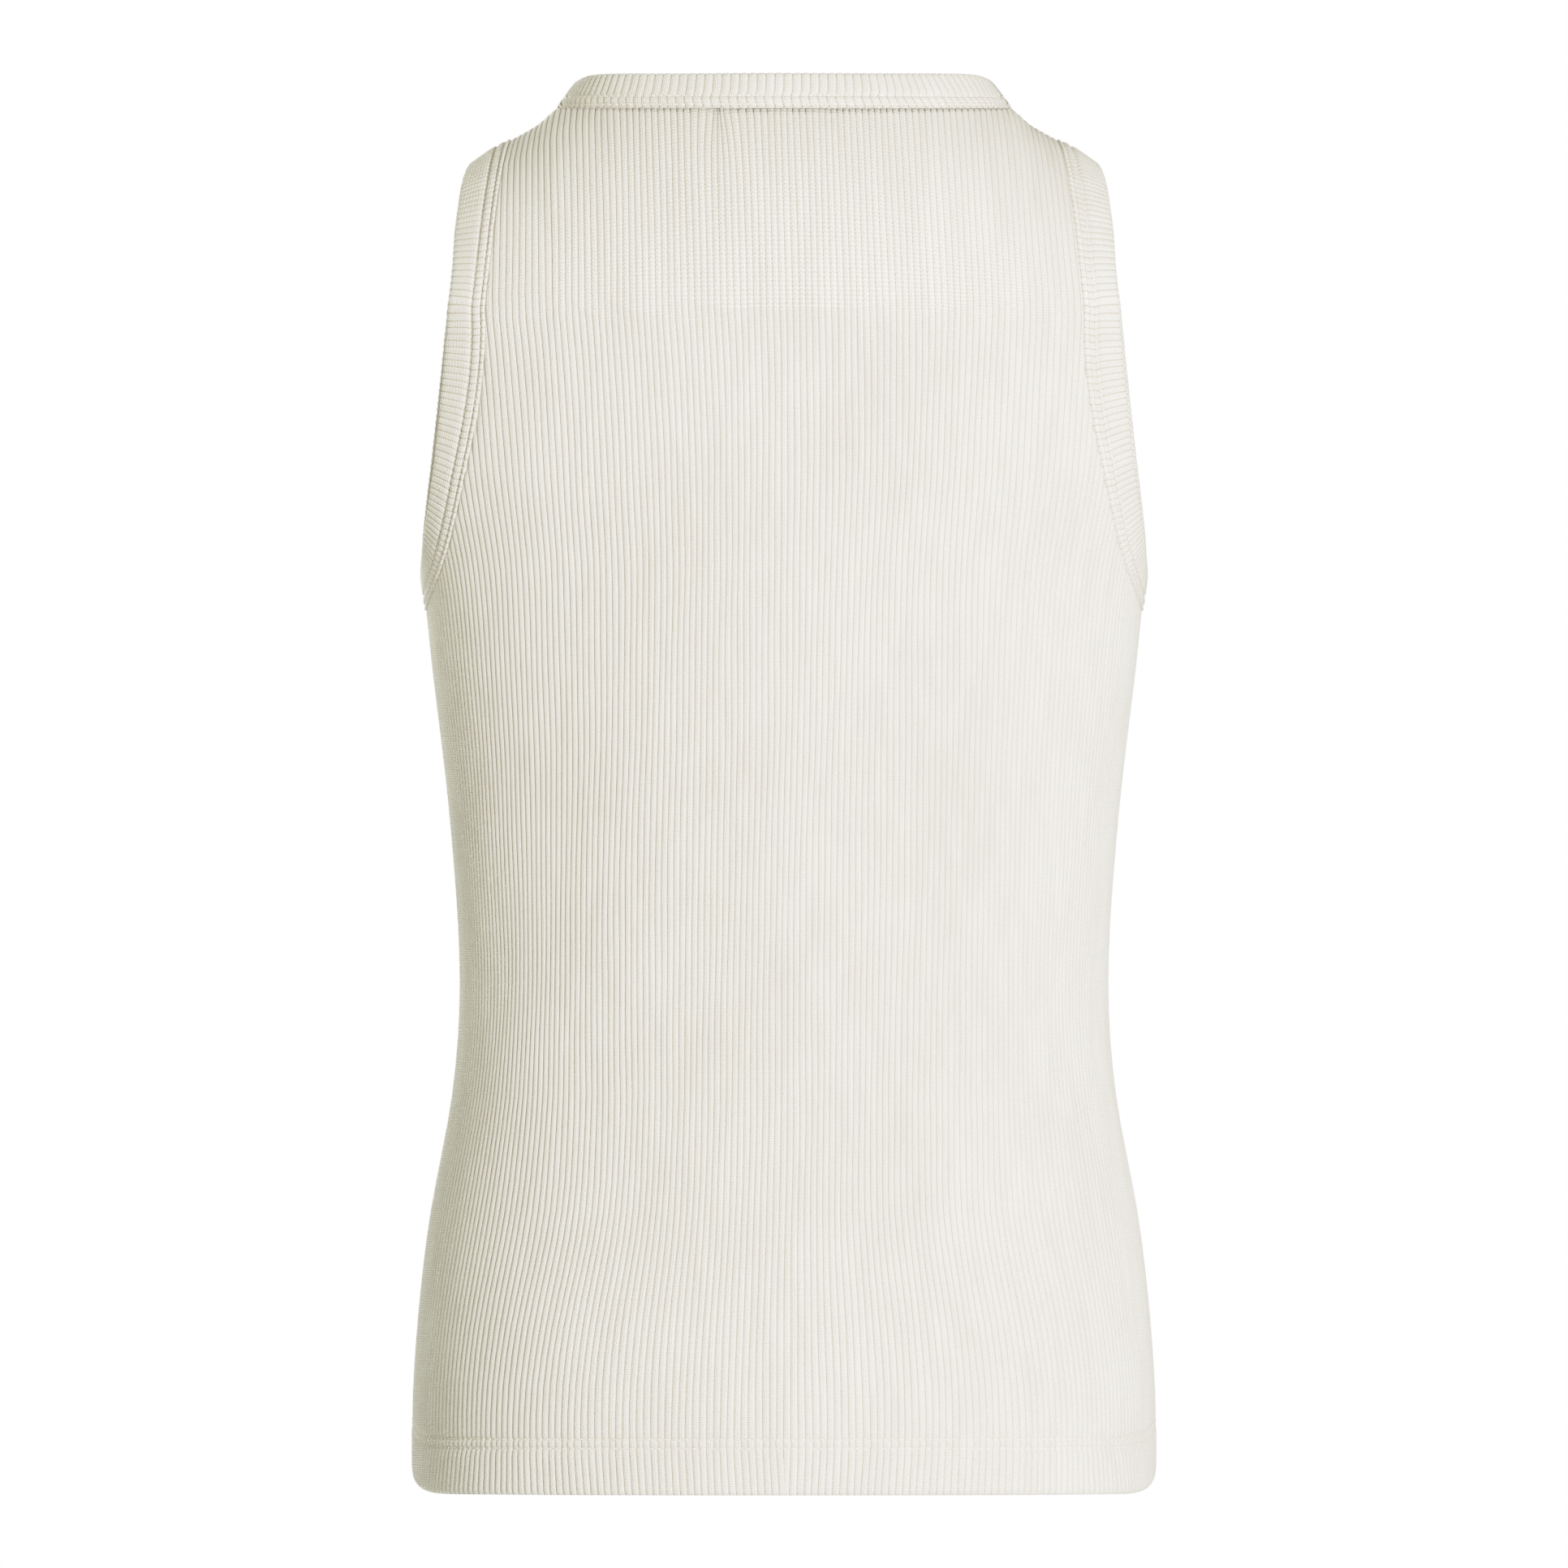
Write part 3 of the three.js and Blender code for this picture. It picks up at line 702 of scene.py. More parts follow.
# %% Make the two panels
def make_panel(name, side):
    """One panel as a closed skin: the ribbed outer face, the plain inner face and a rim."""
    phase, level = panel_columns()
    across = phase / RIBS_TO_SIDE
    plain_top = panel_top(side, across)
    strayed_top = panel_top(side, stray_to(side, across, plain_top, plain_top))
    row, from_hem = panel_rows(across, strayed_top)
    above_hem = np.where(from_hem[:, None] < ABOVE_HEM_ROWS, from_hem[:, None], row)
    strayed = stray_to(side, across[None, :], row, above_hem)
    pinch = stitch_pinch(above_hem)
    fold = np.clip(1 - above_hem / FOLD_ROUND, 0, 1)
    relief = RIB_PROUD * RIB_HEIGHT * level[None, :] * (1 - 0.6 * pinch)
    puffed = CHANNEL_PUFF * np.exp(-(((above_hem - HEM_MIDDLE) / 1.1) ** 2))
    lift = CLOTH + relief - STITCH_DIP * pinch + puffed - fold**2
    lift = lift + soft_folds(side, across[None, :], row)
    lift = lift + HEM_BELLY * ease(above_hem / 3) * ease((19 - above_hem) / 3)
    hidden = ease(past_armhole(strayed, row) / 1.2)
    lift = lift * (1 - hidden) + 0.5 * hidden
    outer, _ = read_net(side, strayed, row, lift)

    coarse = inner_columns()
    inner_row, _ = panel_rows(across[coarse], plain_top[coarse])
    inner_across = np.broadcast_to(across[coarse], inner_row.shape)
    inner_above = np.where(from_hem[:, None] < ABOVE_HEM_ROWS, from_hem[:, None], inner_row)
    doubled = 1 - ease((inner_above - HEM_TURN_UP) / DOUBLED_FADE)
    inner_fold = np.clip(1 - inner_above / FOLD_ROUND, 0, 1)
    inner_lift = soft_folds(side, inner_across, inner_row) - doubled * (1 - inner_fold**2)
    inner, _ = read_net(side, inner_across, inner_row, inner_lift)

    count = outer.shape[0] * outer.shape[1]
    outer_numbers = np.arange(count).reshape(outer.shape[:2])
    inner_numbers = count + np.arange(inner.shape[0] * inner.shape[1]).reshape(inner.shape[:2])
    flip = side == "back"
    faces = grid_faces(outer_numbers, flip) + grid_faces(inner_numbers, not flip)
    faces += fan_faces(outer_numbers[0].tolist(), inner_numbers[0].tolist(), coarse, not flip)
    faces += fan_faces(outer_numbers[-1].tolist(), inner_numbers[-1].tolist(), coarse, flip)
    for edge, turned in ((0, not flip), (-1, flip)):
        rim = np.stack([outer_numbers[:, edge], inner_numbers[:, edge]], axis=1)
        faces += grid_faces(rim, turned)
    points = to_frame(np.concatenate([outer.reshape(-1, 3), inner.reshape(-1, 3)]))
    rib_count = np.broadcast_to(phase[None, :] + RIBS_TO_SIDE, row.shape)
    uv = np.concatenate([
        np.stack([rib_count, row / COURSE], axis=-1).reshape(-1, 2),
        np.stack([rib_count[:, coarse], inner_row / COURSE], axis=-1).reshape(-1, 2),
    ])
    piece = new_piece(name, points, faces, uv, [body_cloth])
    print(name, "faces:", len(piece.data.polygons))
    return piece


back_cloth = make_panel("back_cloth", "back")
front_cloth = make_panel("front_cloth", "front")

# %% [markdown]
# ## The bindings
#
# A binding is a strip of the same rib knit, folded over the raw edge of the body and held
# by two rows of stitches. Its ribs run across the band, so round an opening they are like
# the spokes of a wheel, and the stitch rows press two troughs into them with a raised
# channel between. The strip is made by walking round the seam and standing the same
# profile at even steps: from the seam edge over the face, round the fold and back inside.
# Where the seam turns a corner on the shoulder, the direction is taken over a longer reach,
# so that the ribs turn with it gradually. Behind, the free edge of the neck band is drawn
# together, which leans its ribs like a fan. On the upper half of the armholes the free edge
# stands out a few millimetres more, and over the shoulder it droops. A curve with a bevel
# object would do for a plain tape, but it could not lean the ribs or fade them out in the
# troughs.

# %% Sizes of the bindings
SEAM_POINTS = 400
NECK_REACH = 11.0
ARMHOLE_REACH = 4.0
NECK_RIBS = 172
ARMHOLE_RIBS = 180
NECK_HALF_WIDTH = 94.7
BAND_LIFT_FRONT = 8.0
BAND_LIFT_BACK = 20.0
BAND_LIFT_SIDES = 10.0
BAND_RIB_HEIGHT = 0.50
BAND_FREE_EDGE = 16.5
NECK_FAN = 7.0
FAN_SCALE = 22
SHOULDER_DROOP = 4.0
ARMHOLE_WIDER = {
    "height": [372, 425, 445, 465, 486, 500, 507, 520, 534, 548, 561, 610],
    "more": [0, 0.1, 1.4, 2.3, 1.9, 0.55, 0.45, 0.95, 2.1, 2.7, 3.4, 3.4],
}
BAND_ROWS = (2.25, 6.35)
BAND_RIB_PLACES = np.array([0.0, 0.11, 0.25, 0.75, 0.89])
BAND_RIB_LEVELS = np.array([0.0, 0.62, 1.0, 1.0, 0.62])
# Out from the seam, above the inside of the cloth, share of the rib height, lean in ribs
BAND_PROFILE = np.array([
    (0.40, 0.10, 0.0, 0.00),
    (0.30, 0.95, 0.8, 0.00),
    (0.50, 1.65, 1.0, 0.00),
    (0.95, 2.00, 1.0, 0.00),
    (1.50, 1.98, 0.8, 0.00),
    (1.95, 1.52, 0.4, 0.00),
    (2.25, 1.24, 0.1, 0.03),
    (2.55, 1.54, 0.5, 0.06),
    (3.10, 1.98, 0.9, 0.12),
    (4.30, 2.15, 1.0, 0.20),
    (5.40, 2.02, 0.9, 0.24),
    (6.00, 1.54, 0.5, 0.22),
    (6.35, 1.22, 0.1, 0.18),
    (6.70, 1.56, 0.5, 0.14),
    (7.30, 2.05, 1.0, 0.08),
    (9.00, 2.14, 1.0, 0.02),
    (11.5, 2.14, 1.0, 0.00),
    (14.0, 2.10, 1.0, 0.00),
    (15.3, 1.98, 1.0, 0.00),
    (16.1, 1.66, 0.9, 0.00),
    (16.5, 1.18, 0.8, 0.00),
    (16.55, 0.72, 0.6, 0.00),
    (16.3, 0.22, 0.4, 0.00),
    (15.7, -0.15, 0.2, 0.00),
    (14.6, -0.36, 0.1, 0.00),
    (11.0, -0.46, 0.1, 0.00),
    (6.40, -0.46, 0.1, 0.00),
    (2.20, -0.46, 0.1, 0.00),
    (0.80, -0.40, 0.0, 0.00),
    (0.42, -0.22, 0.0, 0.00),
])


def neck_seam():
    """Places round the neck: behind from the right shoulder to the left, then in front."""
    turn = np.linspace(-np.pi / 2, np.pi / 2, SEAM_POINTS)
    across = EDGE_AT_NECK * np.sin(turn)
    behind = read_net("back", across, neck_row("back", across))
    before = read_net("front", across, neck_row("front", across))
    return [np.concatenate([a, b[::-1]]) for a, b in zip(behind, before)]


def armhole_seam(facing):
    """Places round an armhole: behind from the shoulder to the side, then up in front."""
    turn = np.linspace(0, np.pi / 2, SEAM_POINTS * 3 // 4)
    share = 1 - (1 - EDGE_AT_ARMHOLE) * np.sin(turn)
    row = armhole_row(share)
    straight = np.arange(CHEST_HEIGHT + 1, SHOULDER_SEAM + 1)
    share = np.concatenate([share, np.full(straight.shape, EDGE_AT_ARMHOLE)])
    row = np.concatenate([row, straight])
    behind = read_net("back", facing * share, row)
    before = read_net("front", facing * share, row)
    return [np.concatenate([a[::-1], b]) for a, b in zip(behind, before)]


class Seam:
    """A closed line on the cloth that can be read at any distance along it."""

    def __init__(self, places, normals, reach):
        steps = np.linalg.norm(np.diff(places, axis=0, append=places[:1]), axis=1)
        keep = steps > 1e-4
        self.places, self.normals, self.reach = places[keep], normals[keep], reach
        steps = np.linalg.norm(np.diff(self.places, axis=0, append=self.places[:1]), axis=1)
        self.marks = np.concatenate([[0], np.cumsum(steps)])
        self.length = self.marks[-1]
        self.turn = 1
        place, _, inward = self.frames(np.linspace(0, self.length, 200))
        self.turn = np.sign(np.sum(inward * (self.places.mean(axis=0) - place)))

    def read(self, values, distance):
        wrapped = np.mod(distance, self.length)
        closed = np.concatenate([values, values[:1]])
        return np.stack([np.interp(wrapped, self.marks, closed[:, k]) for k in range(3)], axis=-1)

    def frames(self, distance):
        """Place, outward direction and direction into the opening, smoothed over the reach."""
        place = self.read(self.places, distance)
        steps = np.linspace(-0.75, 0.75, 7) * self.reach
        normal = sum(self.read(self.normals, distance + step) for step in steps)
        before, after = distance - self.reach, distance + self.reach
        along = self.read(self.places, after) - self.read(self.places, before)
        along /= np.linalg.norm(along, axis=-1, keepdims=True)
        normal /= np.linalg.norm(normal, axis=-1, keepdims=True)
        inward = np.cross(along, normal)
        inward /= np.linalg.norm(inward, axis=-1, keepdims=True)
        return place, normal, inward * self.turn


def neck_lift(place, out):
    """The neck band stands up a little at the front and more at the back."""
    behind = ease((place[..., 2] - FRONT_NECK_BOTTOM) / (BACK_NECK_HEIGHT - FRONT_NECK_BOTTOM))
    aside = np.minimum((place[..., 0] / NECK_HALF_WIDTH) ** 4, 1)
    sides = 4 * aside * (1 - aside) * BAND_LIFT_SIDES
    lift = np.radians(BAND_LIFT_FRONT + (BAND_LIFT_BACK - BAND_LIFT_FRONT + sides) * behind)
    return lift * np.clip(out / 3, 0, 1)


def on_band(seam, lift, distance, out, height):
    """Places on a band in millimetres above the hem, with their outward directions."""
    place, normal, inward = seam.frames(distance)
    angle = lift(place, out)[..., None]
    free = inward * np.cos(angle) + normal * np.sin(angle)
    face = normal * np.cos(angle) - inward * np.sin(angle)
    return place + free * out[..., None] + face * height[..., None], face


def make_band(name, seam, ribs, lift, fan, wider):
    """A folded band round a seam. It says how its free edge lifts, leans and reaches out."""
    phase = (np.arange(ribs)[:, None] + BAND_RIB_PLACES).ravel()
    level = np.tile(BAND_RIB_LEVELS, ribs)
    out, height, share, shift = (column[:, None] for column in BAND_PROFILE.T)
    distance = phase / ribs * seam.length
    leaned = distance + shift * seam.length / ribs
    leaned = leaned + fan(distance) * np.clip(out / BAND_FREE_EDGE, 0, 1)
    wobble = 0.1 * np.sin(phase * 0.37) + 0.08 * np.sin(phase * 1.9 + 1)
    relief = BAND_RIB_HEIGHT * level * share
    edge = 0.25 * (level - 0.5) * np.clip((out - 15) / 1.5, 0, 1)
    spread = out + edge + wider(seam, distance) * ease((out - 7) / 8)
    places, _ = on_band(seam, lift, leaned, spread, height + relief + wobble * share * 0.5)
    numbers = np.arange(places.shape[0] * places.shape[1]).reshape(places.shape[:2])
    ring = np.concatenate([numbers, numbers[:1]])
    ring = np.concatenate([ring, ring[:, :1]], axis=1)
    profile = np.concatenate([out, height], axis=1)
    steps = np.linalg.norm(np.diff(profile, axis=0, prepend=profile[:1]), axis=1)
    courses = np.cumsum(steps)[:, None] / COURSE
    uv = np.stack(np.broadcast_arrays(phase[None, :], courses), axis=-1).reshape(-1, 2)
    faces = grid_faces(ring, seam.turn > 0)
    piece = new_piece(name, to_frame(places.reshape(-1, 3)), faces, uv, [band_cloth])
    print(name, "seam", round(float(seam.length)), "mm, faces:", len(piece.data.polygons))
    return piece


# %% Make the three bindings
neck_line = Seam(*neck_seam(), reach=NECK_REACH)
left_line = Seam(*armhole_seam(1), reach=ARMHOLE_REACH)
right_line = Seam(*armhole_seam(-1), reach=ARMHOLE_REACH)


def armhole_lift(place, out):
    """The armhole bands lie flat, and their free edge droops a little over the shoulder."""
    near_top = ease((place[..., 2] - CHEST_HEIGHT) / 30) * np.exp(-((place[..., 1] / 38) ** 2))
    return -math.radians(SHOULDER_DROOP) * near_top * ease((out - 6) / 12)


def armhole_wider(seam, distance):
    """The free edge reaches a little further out on the upper half of the armhole."""
    height = seam.frames(distance)[0][..., 2]
    lowest, highest = ARMHOLE_WIDER["height"][0], ARMHOLE_WIDER["height"][-1]
    return smooth_table(ARMHOLE_WIDER, "height", "more", np.clip(height, lowest, highest))


def neck_fan(distance):
    """How far the free edge of the neck band is drawn towards the middle, in millimetres."""
    behind = neck_line.length * NECK_SHARE_BEHIND
    in_front = neck_line.length - behind
    share = np.where(distance < behind, distance / behind, (distance - behind) / in_front)
    t = 2 * share - 1
    return -NECK_FAN * FAN_SCALE * t**5 * (1 - t**2) ** 2


def unchanged(*_):
    return 0.0


shoulder = int(np.argmax(neck_line.places[:, 0]))
NECK_SHARE_BEHIND = neck_line.marks[shoulder] / neck_line.length
print("share of the neck seam that lies behind:", round(float(NECK_SHARE_BEHIND), 3))
neck_binding = make_band("neck_binding", neck_line, NECK_RIBS, neck_lift, neck_fan, unchanged)
left_binding, right_binding = (
    make_band(name, line, ARMHOLE_RIBS, armhole_lift, unchanged, armhole_wider)
    for name, line in (
        ("armhole_binding_left", left_line), ("armhole_binding_right", right_line),
    )
)

# %% [markdown]
# ## The stitches
#
# A twin-needle seam shows as two rows of straight stitches. Each stitch comes up through
# the cloth, lies on it and goes down again, so it is a short bead whose ends dip. One
# small bead is worked out as rings of points, and all the beads of a seam are put into one
# mesh, which is far lighter than thousands of objects. A bump in the cloth's material
# would be lighter still, but the thread would have no edge of its own and no shadow.

# %% Make rows of stitches
BEAD_PLACES = np.array([-0.5, -0.3, 0.0, 0.3, 0.5])
BEAD_RADII = np.array([0.45, 0.95, 1.0, 0.95, 0.45])
BEAD_DIPS = np.array([-0.42, 0.0, 0.12, 0.0, -0.42])
BEAD_SIDES = 6
THREAD_RADIUS = 0.24
STITCH_PROUD = 0.30
BAND_STITCH = 3.4
HEM_STITCH = 3.8
STITCH_SHARE = 0.72


def bead_row(start, end, up):
    """Rings of points for stitches from start to end, and their faces."""
    count = len(start)
    along = end - start
    side = np.cross(along, up)
    side /= np.linalg.norm(side, axis=1, keepdims=True)
    middle = (start + end) / 2
    turn = np.arange(BEAD_SIDES) / BEAD_SIDES * 2 * np.pi
    ring = side[:, None, None, :] * np.cos(turn)[None, None, :, None]
    ring = ring + up[:, None, None, :] * np.sin(turn)[None, None, :, None]
    centre = middle[:, None, :] + along[:, None, :] * BEAD_PLACES[None, :, None]
    centre = centre + up[:, None, :] * BEAD_DIPS[None, :, None]
    points = centre[:, :, None, :] + ring * (THREAD_RADIUS * BEAD_RADII)[None, :, None, None]
    numbers = np.arange(points.size // 3).reshape(count, len(BEAD_PLACES), BEAD_SIDES)
    closed = np.concatenate([numbers, numbers[:, :, :1]], axis=2)
    a, b = closed[:, :-1, :-1], closed[:, 1:, :-1]
    c, d = closed[:, 1:, 1:], closed[:, :-1, 1:]
    faces = np.stack([a, b, c, d], axis=-1).reshape(-1, 4).tolist()
    faces += numbers[:, 0, :].tolist() + numbers[:, -1, ::-1].tolist()
    return points.reshape(-1, 3), faces


def join_rows(rows):
    """One list of points and one of faces from several rows of stitches."""
    points, faces, start = [], [], 0
    for row_points, row_faces in rows:
        points.append(row_points)
        faces += [[start + i for i in face] for face in row_faces]
        start += len(row_points)
    return np.concatenate(points), faces


def stitch_pairs(length, stitch):
    """Distances at which the stitches of a row of that length start and end."""
    count = round(length / stitch)
    step = length / count
    start = (np.arange(count) + (1 - STITCH_SHARE) / 2) * step
    return start, start + step * STITCH_SHARE


def stitch_band(name, seam, lift):
    """The rows of stitches along a binding."""
    rows = []
    for out in BAND_ROWS:
        start, end = stitch_pairs(seam.length, BAND_STITCH)
        level = np.interp(out, BAND_PROFILE[:16, 0], BAND_PROFILE[:16, 1]) + STITCH_PROUD
        outs, levels = np.full(start.shape, out), np.full(start.shape, level)
        first, up = on_band(seam, lift, start, outs, levels)
        last, _ = on_band(seam, lift, end, outs, levels)
        rows.append(bead_row(first, last, up))
    points, faces = join_rows(rows)
    return new_piece(name, to_frame(points), faces, None, [sewing_thread])


def stitch_hem(name, side):
    """The rows of stitches along the hem of one panel."""
    rows = []
    across = np.linspace(-1, 1, 1200)
    for at in HEM_ROWS:
        row = at + hem_row(across) * (1 - ease(at / HEM_FADE))
        lift = CLOTH + soft_folds(side, across, row)
        line, up = read_net(side, across, row, lift)
        marks = np.concatenate([[0], np.cumsum(np.linalg.norm(np.diff(line, axis=0), axis=1))])
        ends = [
            np.stack([np.interp(d, marks, line[:, k]) for k in range(3)], axis=1)
            for d in stitch_pairs(marks[-1], HEM_STITCH)
        ]
        start, _ = stitch_pairs(marks[-1], HEM_STITCH)
        up_there = np.stack([np.interp(start, marks, up[:, k]) for k in range(3)], axis=1)
        rows.append(bead_row(ends[0], ends[1], up_there))
    points, faces = join_rows(rows)
    return new_piece(name, to_frame(points), faces, None, [sewing_thread])


neck_stitches = stitch_band("neck_stitches", neck_line, neck_lift)
left_stitches = stitch_band("armhole_stitches_left", left_line, armhole_lift)
right_stitches = stitch_band("armhole_stitches_right", right_line, armhole_lift)
back_hem_stitches = stitch_hem("hem_stitches_back", "back")
front_hem_stitches = stitch_hem("hem_stitches_front", "front")
print("stitch faces in the neck:", len(neck_stitches.data.polygons))

# %% [markdown]
# ## The seams inside
#
# The back and the front are joined at the sides and on the shoulders. Outside, such a seam
# is only a fine line between two ribs. Inside, the edges of both pieces are sewn over with
# thread and pressed flat, which shows as a narrow strip through the neck and the armholes.
# The strip is a ring of six points that is moved along the seam. Three of them lie close
# under the cloth and three are the side that one sees. A plain bar would be simpler, but it
# would not follow the curve of the shoulder. The strips also keep light from shining
# through the fine gaps between the panels.

# %% Make the strips of the side and shoulder seams
STRIP_SHARE = 0.016
STRIP_TURN = 3.0
STRIP_NEAR = 0.12
STRIP_FAR = 0.9
STRIP_SHORT = 1.5
STRIP_STEPS = 60


def make_strip(name, tracks):
    """A closed strip from six lines of points, in millimetres above the hem."""
    points = np.stack(tracks, axis=1)
    numbers = np.arange(points.shape[0] * 6).reshape(-1, 6)
    a, b, c = points[:-1, 0], points[:-1, 1], points[1:, 0]
    inner = points[:-1].mean(axis=1) - a
    flip = np.sum(np.cross(b - a, c - a) * inner) > 0
    faces = grid_faces(np.concatenate([numbers, numbers[:, :1]], axis=1), flip)
    ends = [numbers[0, ::-1].tolist(), numbers[-1].tolist()]
    faces += [end[::-1] for end in ends] if flip else ends
    steps = np.linalg.norm(np.diff(points[:, 0], axis=0, prepend=points[:1, 0]), axis=1)
    ribs = np.cumsum(steps)[:, None] / 2
    uv = np.stack(np.broadcast_arrays(ribs, np.arange(6)[None, :] * 2.0), axis=-1)
    return new_piece(name, to_frame(points.reshape(-1, 3)), faces, uv.reshape(-1, 2), [band_cloth])


def strip_ring(place_at, beside, seam):
    """Six lines of points: three close under the cloth, and three on the side that one sees."""
    return [
        place_at(side, at, drop)
        for side, at, drop in (
            ("back", beside, STRIP_NEAR), ("back", seam, STRIP_NEAR),
            ("front", beside, STRIP_NEAR), ("front", beside, STRIP_FAR),
            ("front", seam, STRIP_FAR), ("back", beside, STRIP_FAR),
        )
    ]


def side_strip(name, facing):
    """The strip up a side seam. It lies deeper where the hem is doubled."""
    top = ARMHOLE_BOTTOM - STRIP_SHORT
    from_hem = np.concatenate([np.linspace(0.8, 20, 6), np.linspace(22.5, top, STRIP_STEPS)])
    row = np.minimum(from_hem + HEM_RISE * (1 - ease(from_hem / HEM_FADE)), top)
    doubled = 1 - ease((from_hem - HEM_TURN_UP) / DOUBLED_FADE)

    def place_at(side, share, drop):
        return read_net(side, facing * share, row, -doubled - drop)[0]

    return make_strip(name, strip_ring(place_at, 1 - STRIP_SHARE, 1))


def shoulder_strip(name, facing):
    """The strip along a shoulder seam, from the neck to the armhole."""
    across = facing * np.linspace(EDGE_AT_NECK + 0.003, EDGE_AT_ARMHOLE - 0.002, STRIP_STEPS // 2)

    def place_at(side, row, drop):
        return read_net(side, across, row, -drop)[0]

    return make_strip(name, strip_ring(place_at, SHOULDER_SEAM - STRIP_TURN, SHOULDER_SEAM))


seam_strips = [
    side_strip("side_seam_left", 1), side_strip("side_seam_right", -1),
    shoulder_strip("shoulder_seam_left", 1), shoulder_strip("shoulder_seam_right", -1),
]
print("seam strips:", [len(strip.data.polygons) for strip in seam_strips], "faces")

# %% [markdown]
# ## What each piece stands for
#
# The cloth and thread take the place of the plain solids. Every piece rides on the one body.

# %% Join the pieces to the frame
for piece in (
    back_cloth, front_cloth, neck_binding, left_binding, right_binding, neck_stitches,
    left_stitches, right_stitches, back_hem_stitches, front_hem_stitches, *seam_strips,
):
    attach(piece, "root")
for piece, node, slot in (
    (back_cloth, "back_panel", "rib_knit"),
    (front_cloth, "front_panel", "rib_knit"),
    (neck_binding, "neck_band", "rib_binding"),
    (left_binding, "armhole_band_left", "rib_binding"),
    (right_binding, "armhole_band_right", "rib_binding"),
):
    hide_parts(node)

# %% [markdown]
# The flat sizes are those of the pieces on the cutting table. Rib knit stretches round the
# body, so the panels were cut a little narrower than they now stand. The bindings are cut
# as long strips and folded lengthwise round the raw edge.

# %% Print the area of one face of each sheet
for piece, flat, area, sewing in (
    (back_cloth, (0.40, 0.605), 0.195, [back_hem_stitches, *seam_strips]),
    (front_cloth, (0.38, 0.600), 0.175, [front_hem_stitches]),
    (neck_binding, (0.62, 0.018), None, [neck_stitches]),
    (left_binding, (0.52, 0.018), None, [left_stitches]),
    (right_binding, (0.52, 0.018), None, [right_stitches]),
):
    skin_area = sum(face.area for face in piece.data.polygons) / 2
    print(piece.name, "one face of the cloth:", round(skin_area, 4), "square metres")
    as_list(sewing)

# %% [markdown]
# ## Light, developing, floor and camera
#
# The picture is a shop's photograph on pure white, taken from far enough away that the
# garment looks almost flat. A large soft lamp stands to the right of the camera and none to
# the left, so the left flank falls off into a soft grey. Only a very weak and narrow one
# reaches the left edge from the side. A second large lamp lights the front in the same way,
# for views from there. The world is white for the camera and dimmer for the cloth, so that
# the background is clean and the ribs keep their shadows. The Light Path node does this
# without a backdrop behind the garment.
#
# Such pictures are developed so that the highlights lie close together: the ribs show well
# in the grey part and hardly in the bright part. A tone curve does the same here. Weaker
# ribs would look right in the bright part alone.

# %% Lamps and world
PICTURE_MIDDLE = -0.2755
KEY_COLOUR = (0.933, 0.921, 1)
KEY_POWER = 59
KEY_SIZE = 1.1
WORLD_COLOUR = (0.98, 1, 0.78, 1)
WORLD_STRENGTH = 0.34


def add_lamp(name, place, aim, size, power, colour, spread):
    data = bpy.data.lights.new(name, "AREA")
    data.shape = "DISK"
    data.size = size
    data.energy = power
    data.color = colour
    data.spread = math.radians(spread)
    lamp = bpy.data.objects.new(name, data)
    bpy.context.scene.collection.objects.link(lamp)
    lamp.location = place
    lamp.rotation_euler = (Vector(aim) - Vector(place)).to_track_quat("-Z", "Y").to_euler()
    return lamp


garment_middle = (0, 0, PICTURE_MIDDLE)
add_lamp("key", (-1.15, 2.55, 0.3), garment_middle, KEY_SIZE, KEY_POWER, KEY_COLOUR, 180)
add_lamp("side", (2.5, -0.45, 0.3), (0.14, 0, -0.12), 0.5, 0.25, (1, 0.99, 0.95), 24)
add_lamp("front_key", (1.15, -2.55, 0.3), garment_middle, KEY_SIZE, KEY_POWER, KEY_COLOUR, 180)

world = bpy.data.worlds.new("studio")
bpy.context.scene.world = world
world.use_nodes = True
world.node_tree.nodes.clear()
w = Wires(world.node_tree)
for_cloth = w.node("ShaderNodeBackground")
for_cloth.inputs["Color"].default_value = WORLD_COLOUR
for_cloth.inputs["Strength"].default_value = WORLD_STRENGTH
for_camera = w.node("ShaderNodeBackground")
for_camera.inputs["Color"].default_value = (1, 1, 1, 1)
mixed = w.node("ShaderNodeMixShader")
w.feed(mixed.inputs[0], w.node("ShaderNodeLightPath").outputs["Is Camera Ray"])
w.feed(mixed.inputs[1], for_cloth.outputs[0])
w.feed(mixed.inputs[2], for_camera.outputs[0])
w.feed(w.node("ShaderNodeOutputWorld").inputs["Surface"], mixed.outputs[0])

# %% Develop the picture
TONE_IN = (0.15, 0.30, 0.42, 0.56, 0.68, 0.80, 0.90)
TONE_OUT = (0.19, 0.385, 0.54, 0.70, 0.79, 0.86, 0.91)

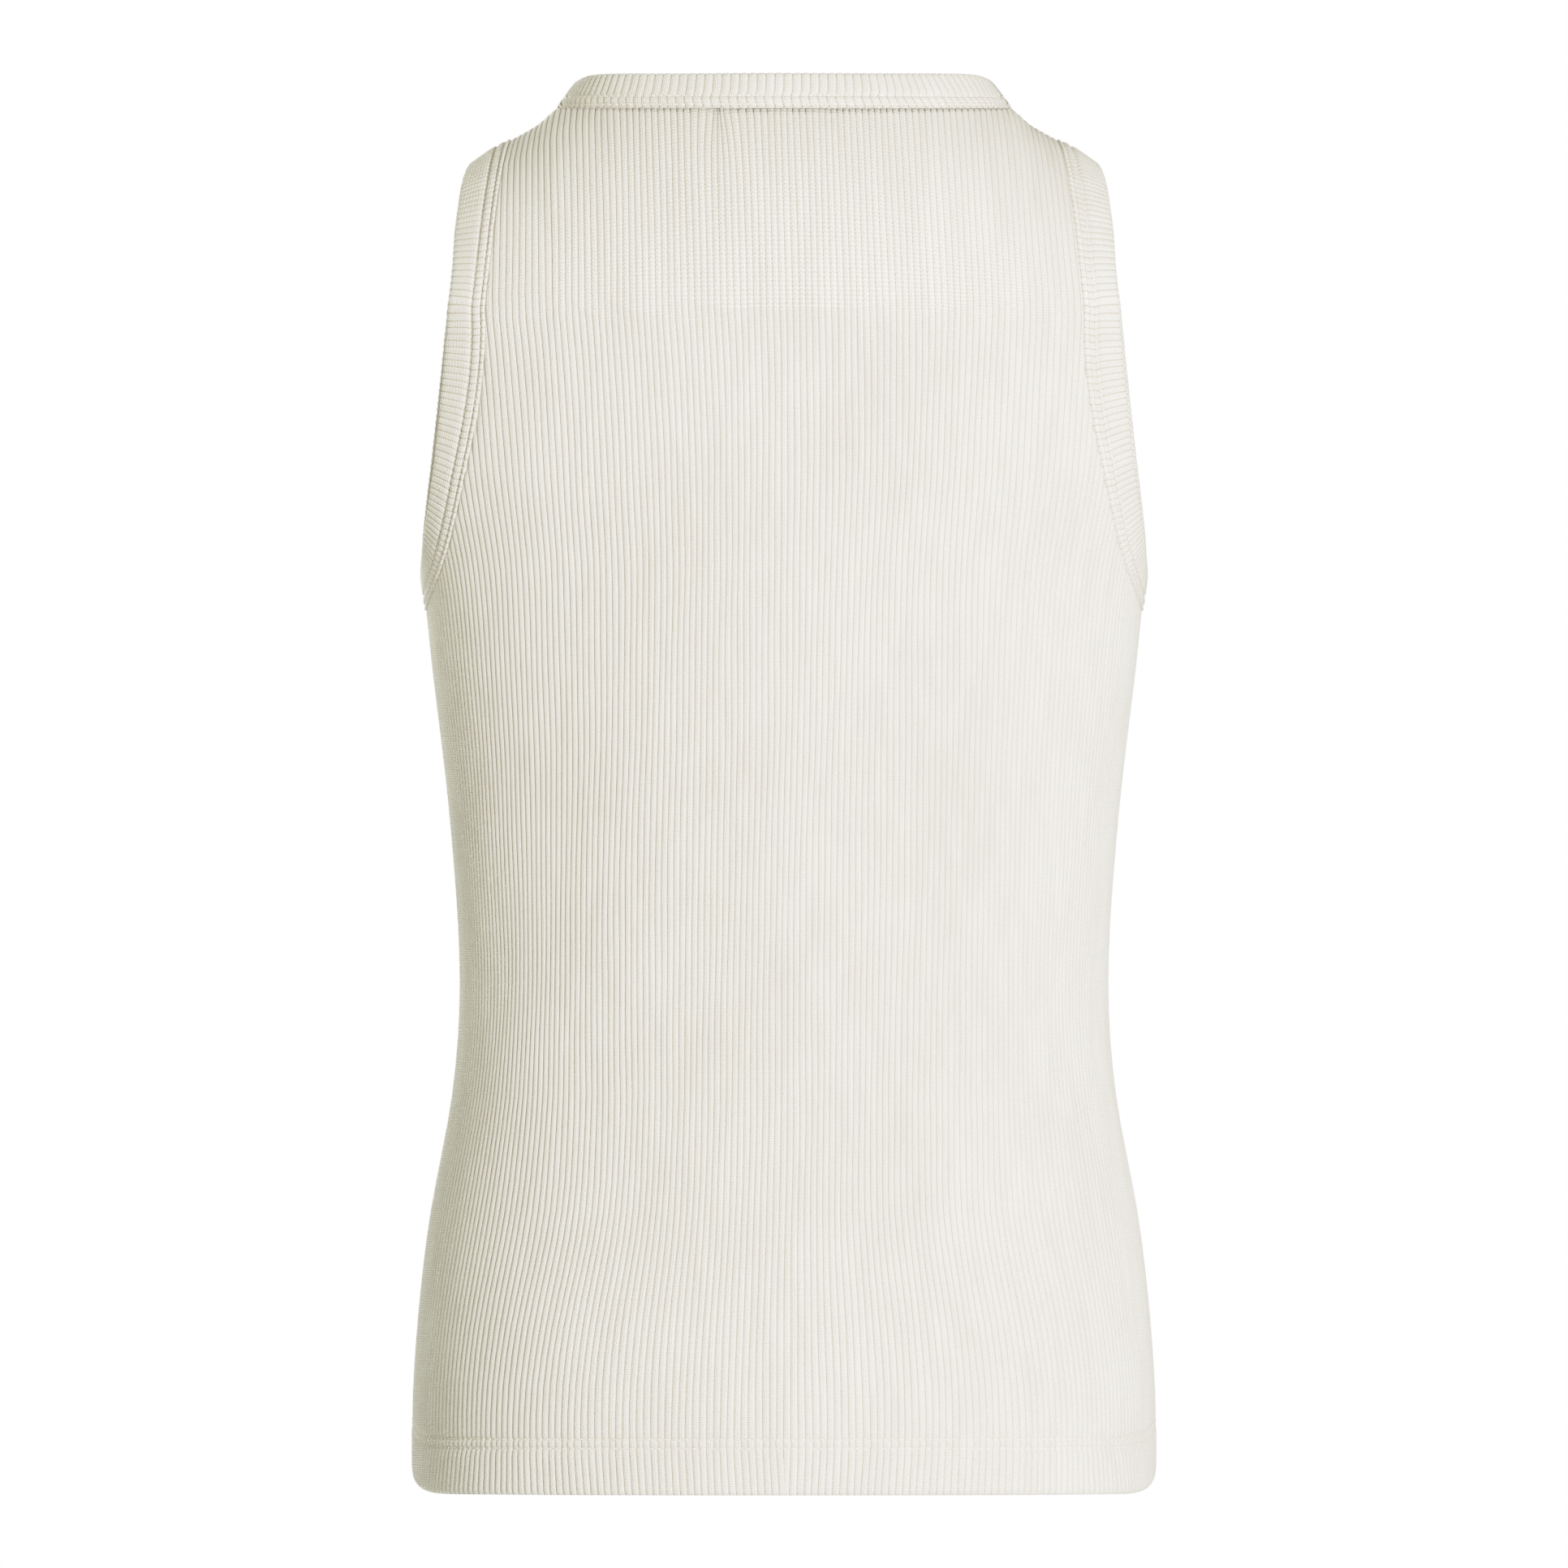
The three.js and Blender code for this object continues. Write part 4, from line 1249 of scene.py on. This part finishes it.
developing = bpy.context.scene.view_settings
developing.view_transform = "Standard"
developing.use_curve_mapping = True
curve = developing.curve_mapping.curves[3]
for place, value in zip(TONE_IN, TONE_OUT):
    curve.points.new(place, value)
developing.curve_mapping.update()
print("points on the tone curve:", len(curve.points))

# %% Floor
FLOOR_RADIUS = 1.6
FLOOR_HEIGHT = -1.4
FLOOR_POINTS = 64

turn = np.arange(FLOOR_POINTS) / FLOOR_POINTS * 2 * np.pi
rim = np.stack([np.cos(turn), np.sin(turn), np.ones(FLOOR_POINTS)], axis=1)
rim = rim * (FLOOR_RADIUS, FLOOR_RADIUS, FLOOR_HEIGHT)
pale = bpy.data.materials.new("Pale floor")
pale.use_nodes = True
paint = pale.node_tree.nodes["Principled BSDF"].inputs
paint["Base Color"].default_value = (0.9, 0.9, 0.9, 1)
paint["Roughness"].default_value = 0.9
floor = new_piece("floor", rim, [list(range(FLOOR_POINTS))], None, [pale], smooth=False)
floor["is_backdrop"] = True
print("floor:", FLOOR_RADIUS, "m round its middle")

# %% Camera
CAMERA_DISTANCE = 30.0
PHOTO_PIXELS = 1932
MM_A_PIXEL = 0.342
FRAME_ROOM = 1.003
SENSOR_WIDTH = 36
FRAME_WIDTH = FRAME_ROOM * PHOTO_PIXELS * MM_A_PIXEL * MM

camera_data = bpy.data.cameras.new("camera")
camera_data.sensor_width = SENSOR_WIDTH
camera_data.lens = SENSOR_WIDTH * CAMERA_DISTANCE / FRAME_WIDTH
camera_data.clip_end = 10 * CAMERA_DISTANCE
camera = bpy.data.objects.new("camera", camera_data)
camera.location = (0, CAMERA_DISTANCE, PICTURE_MIDDLE)
camera.rotation_euler = (math.pi / 2, 0, math.pi)
bpy.context.scene.collection.objects.link(camera)
bpy.context.scene.camera = camera
print("lens:", round(camera_data.lens), "mm")

# %% [markdown]
# ## The size, before and after
#
# Cloth may stand a little proud of its solid and no more. Both boxes are printed, that of the
# solids and that of the dressed pieces.

# %% Print both boxes and finish
dressed_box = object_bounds()
for label, corners in (("solids", solid_box), ("dressed", dressed_box)):
    print(label, [[round(v * 1000, 1) for v in corner] for corner in corners])
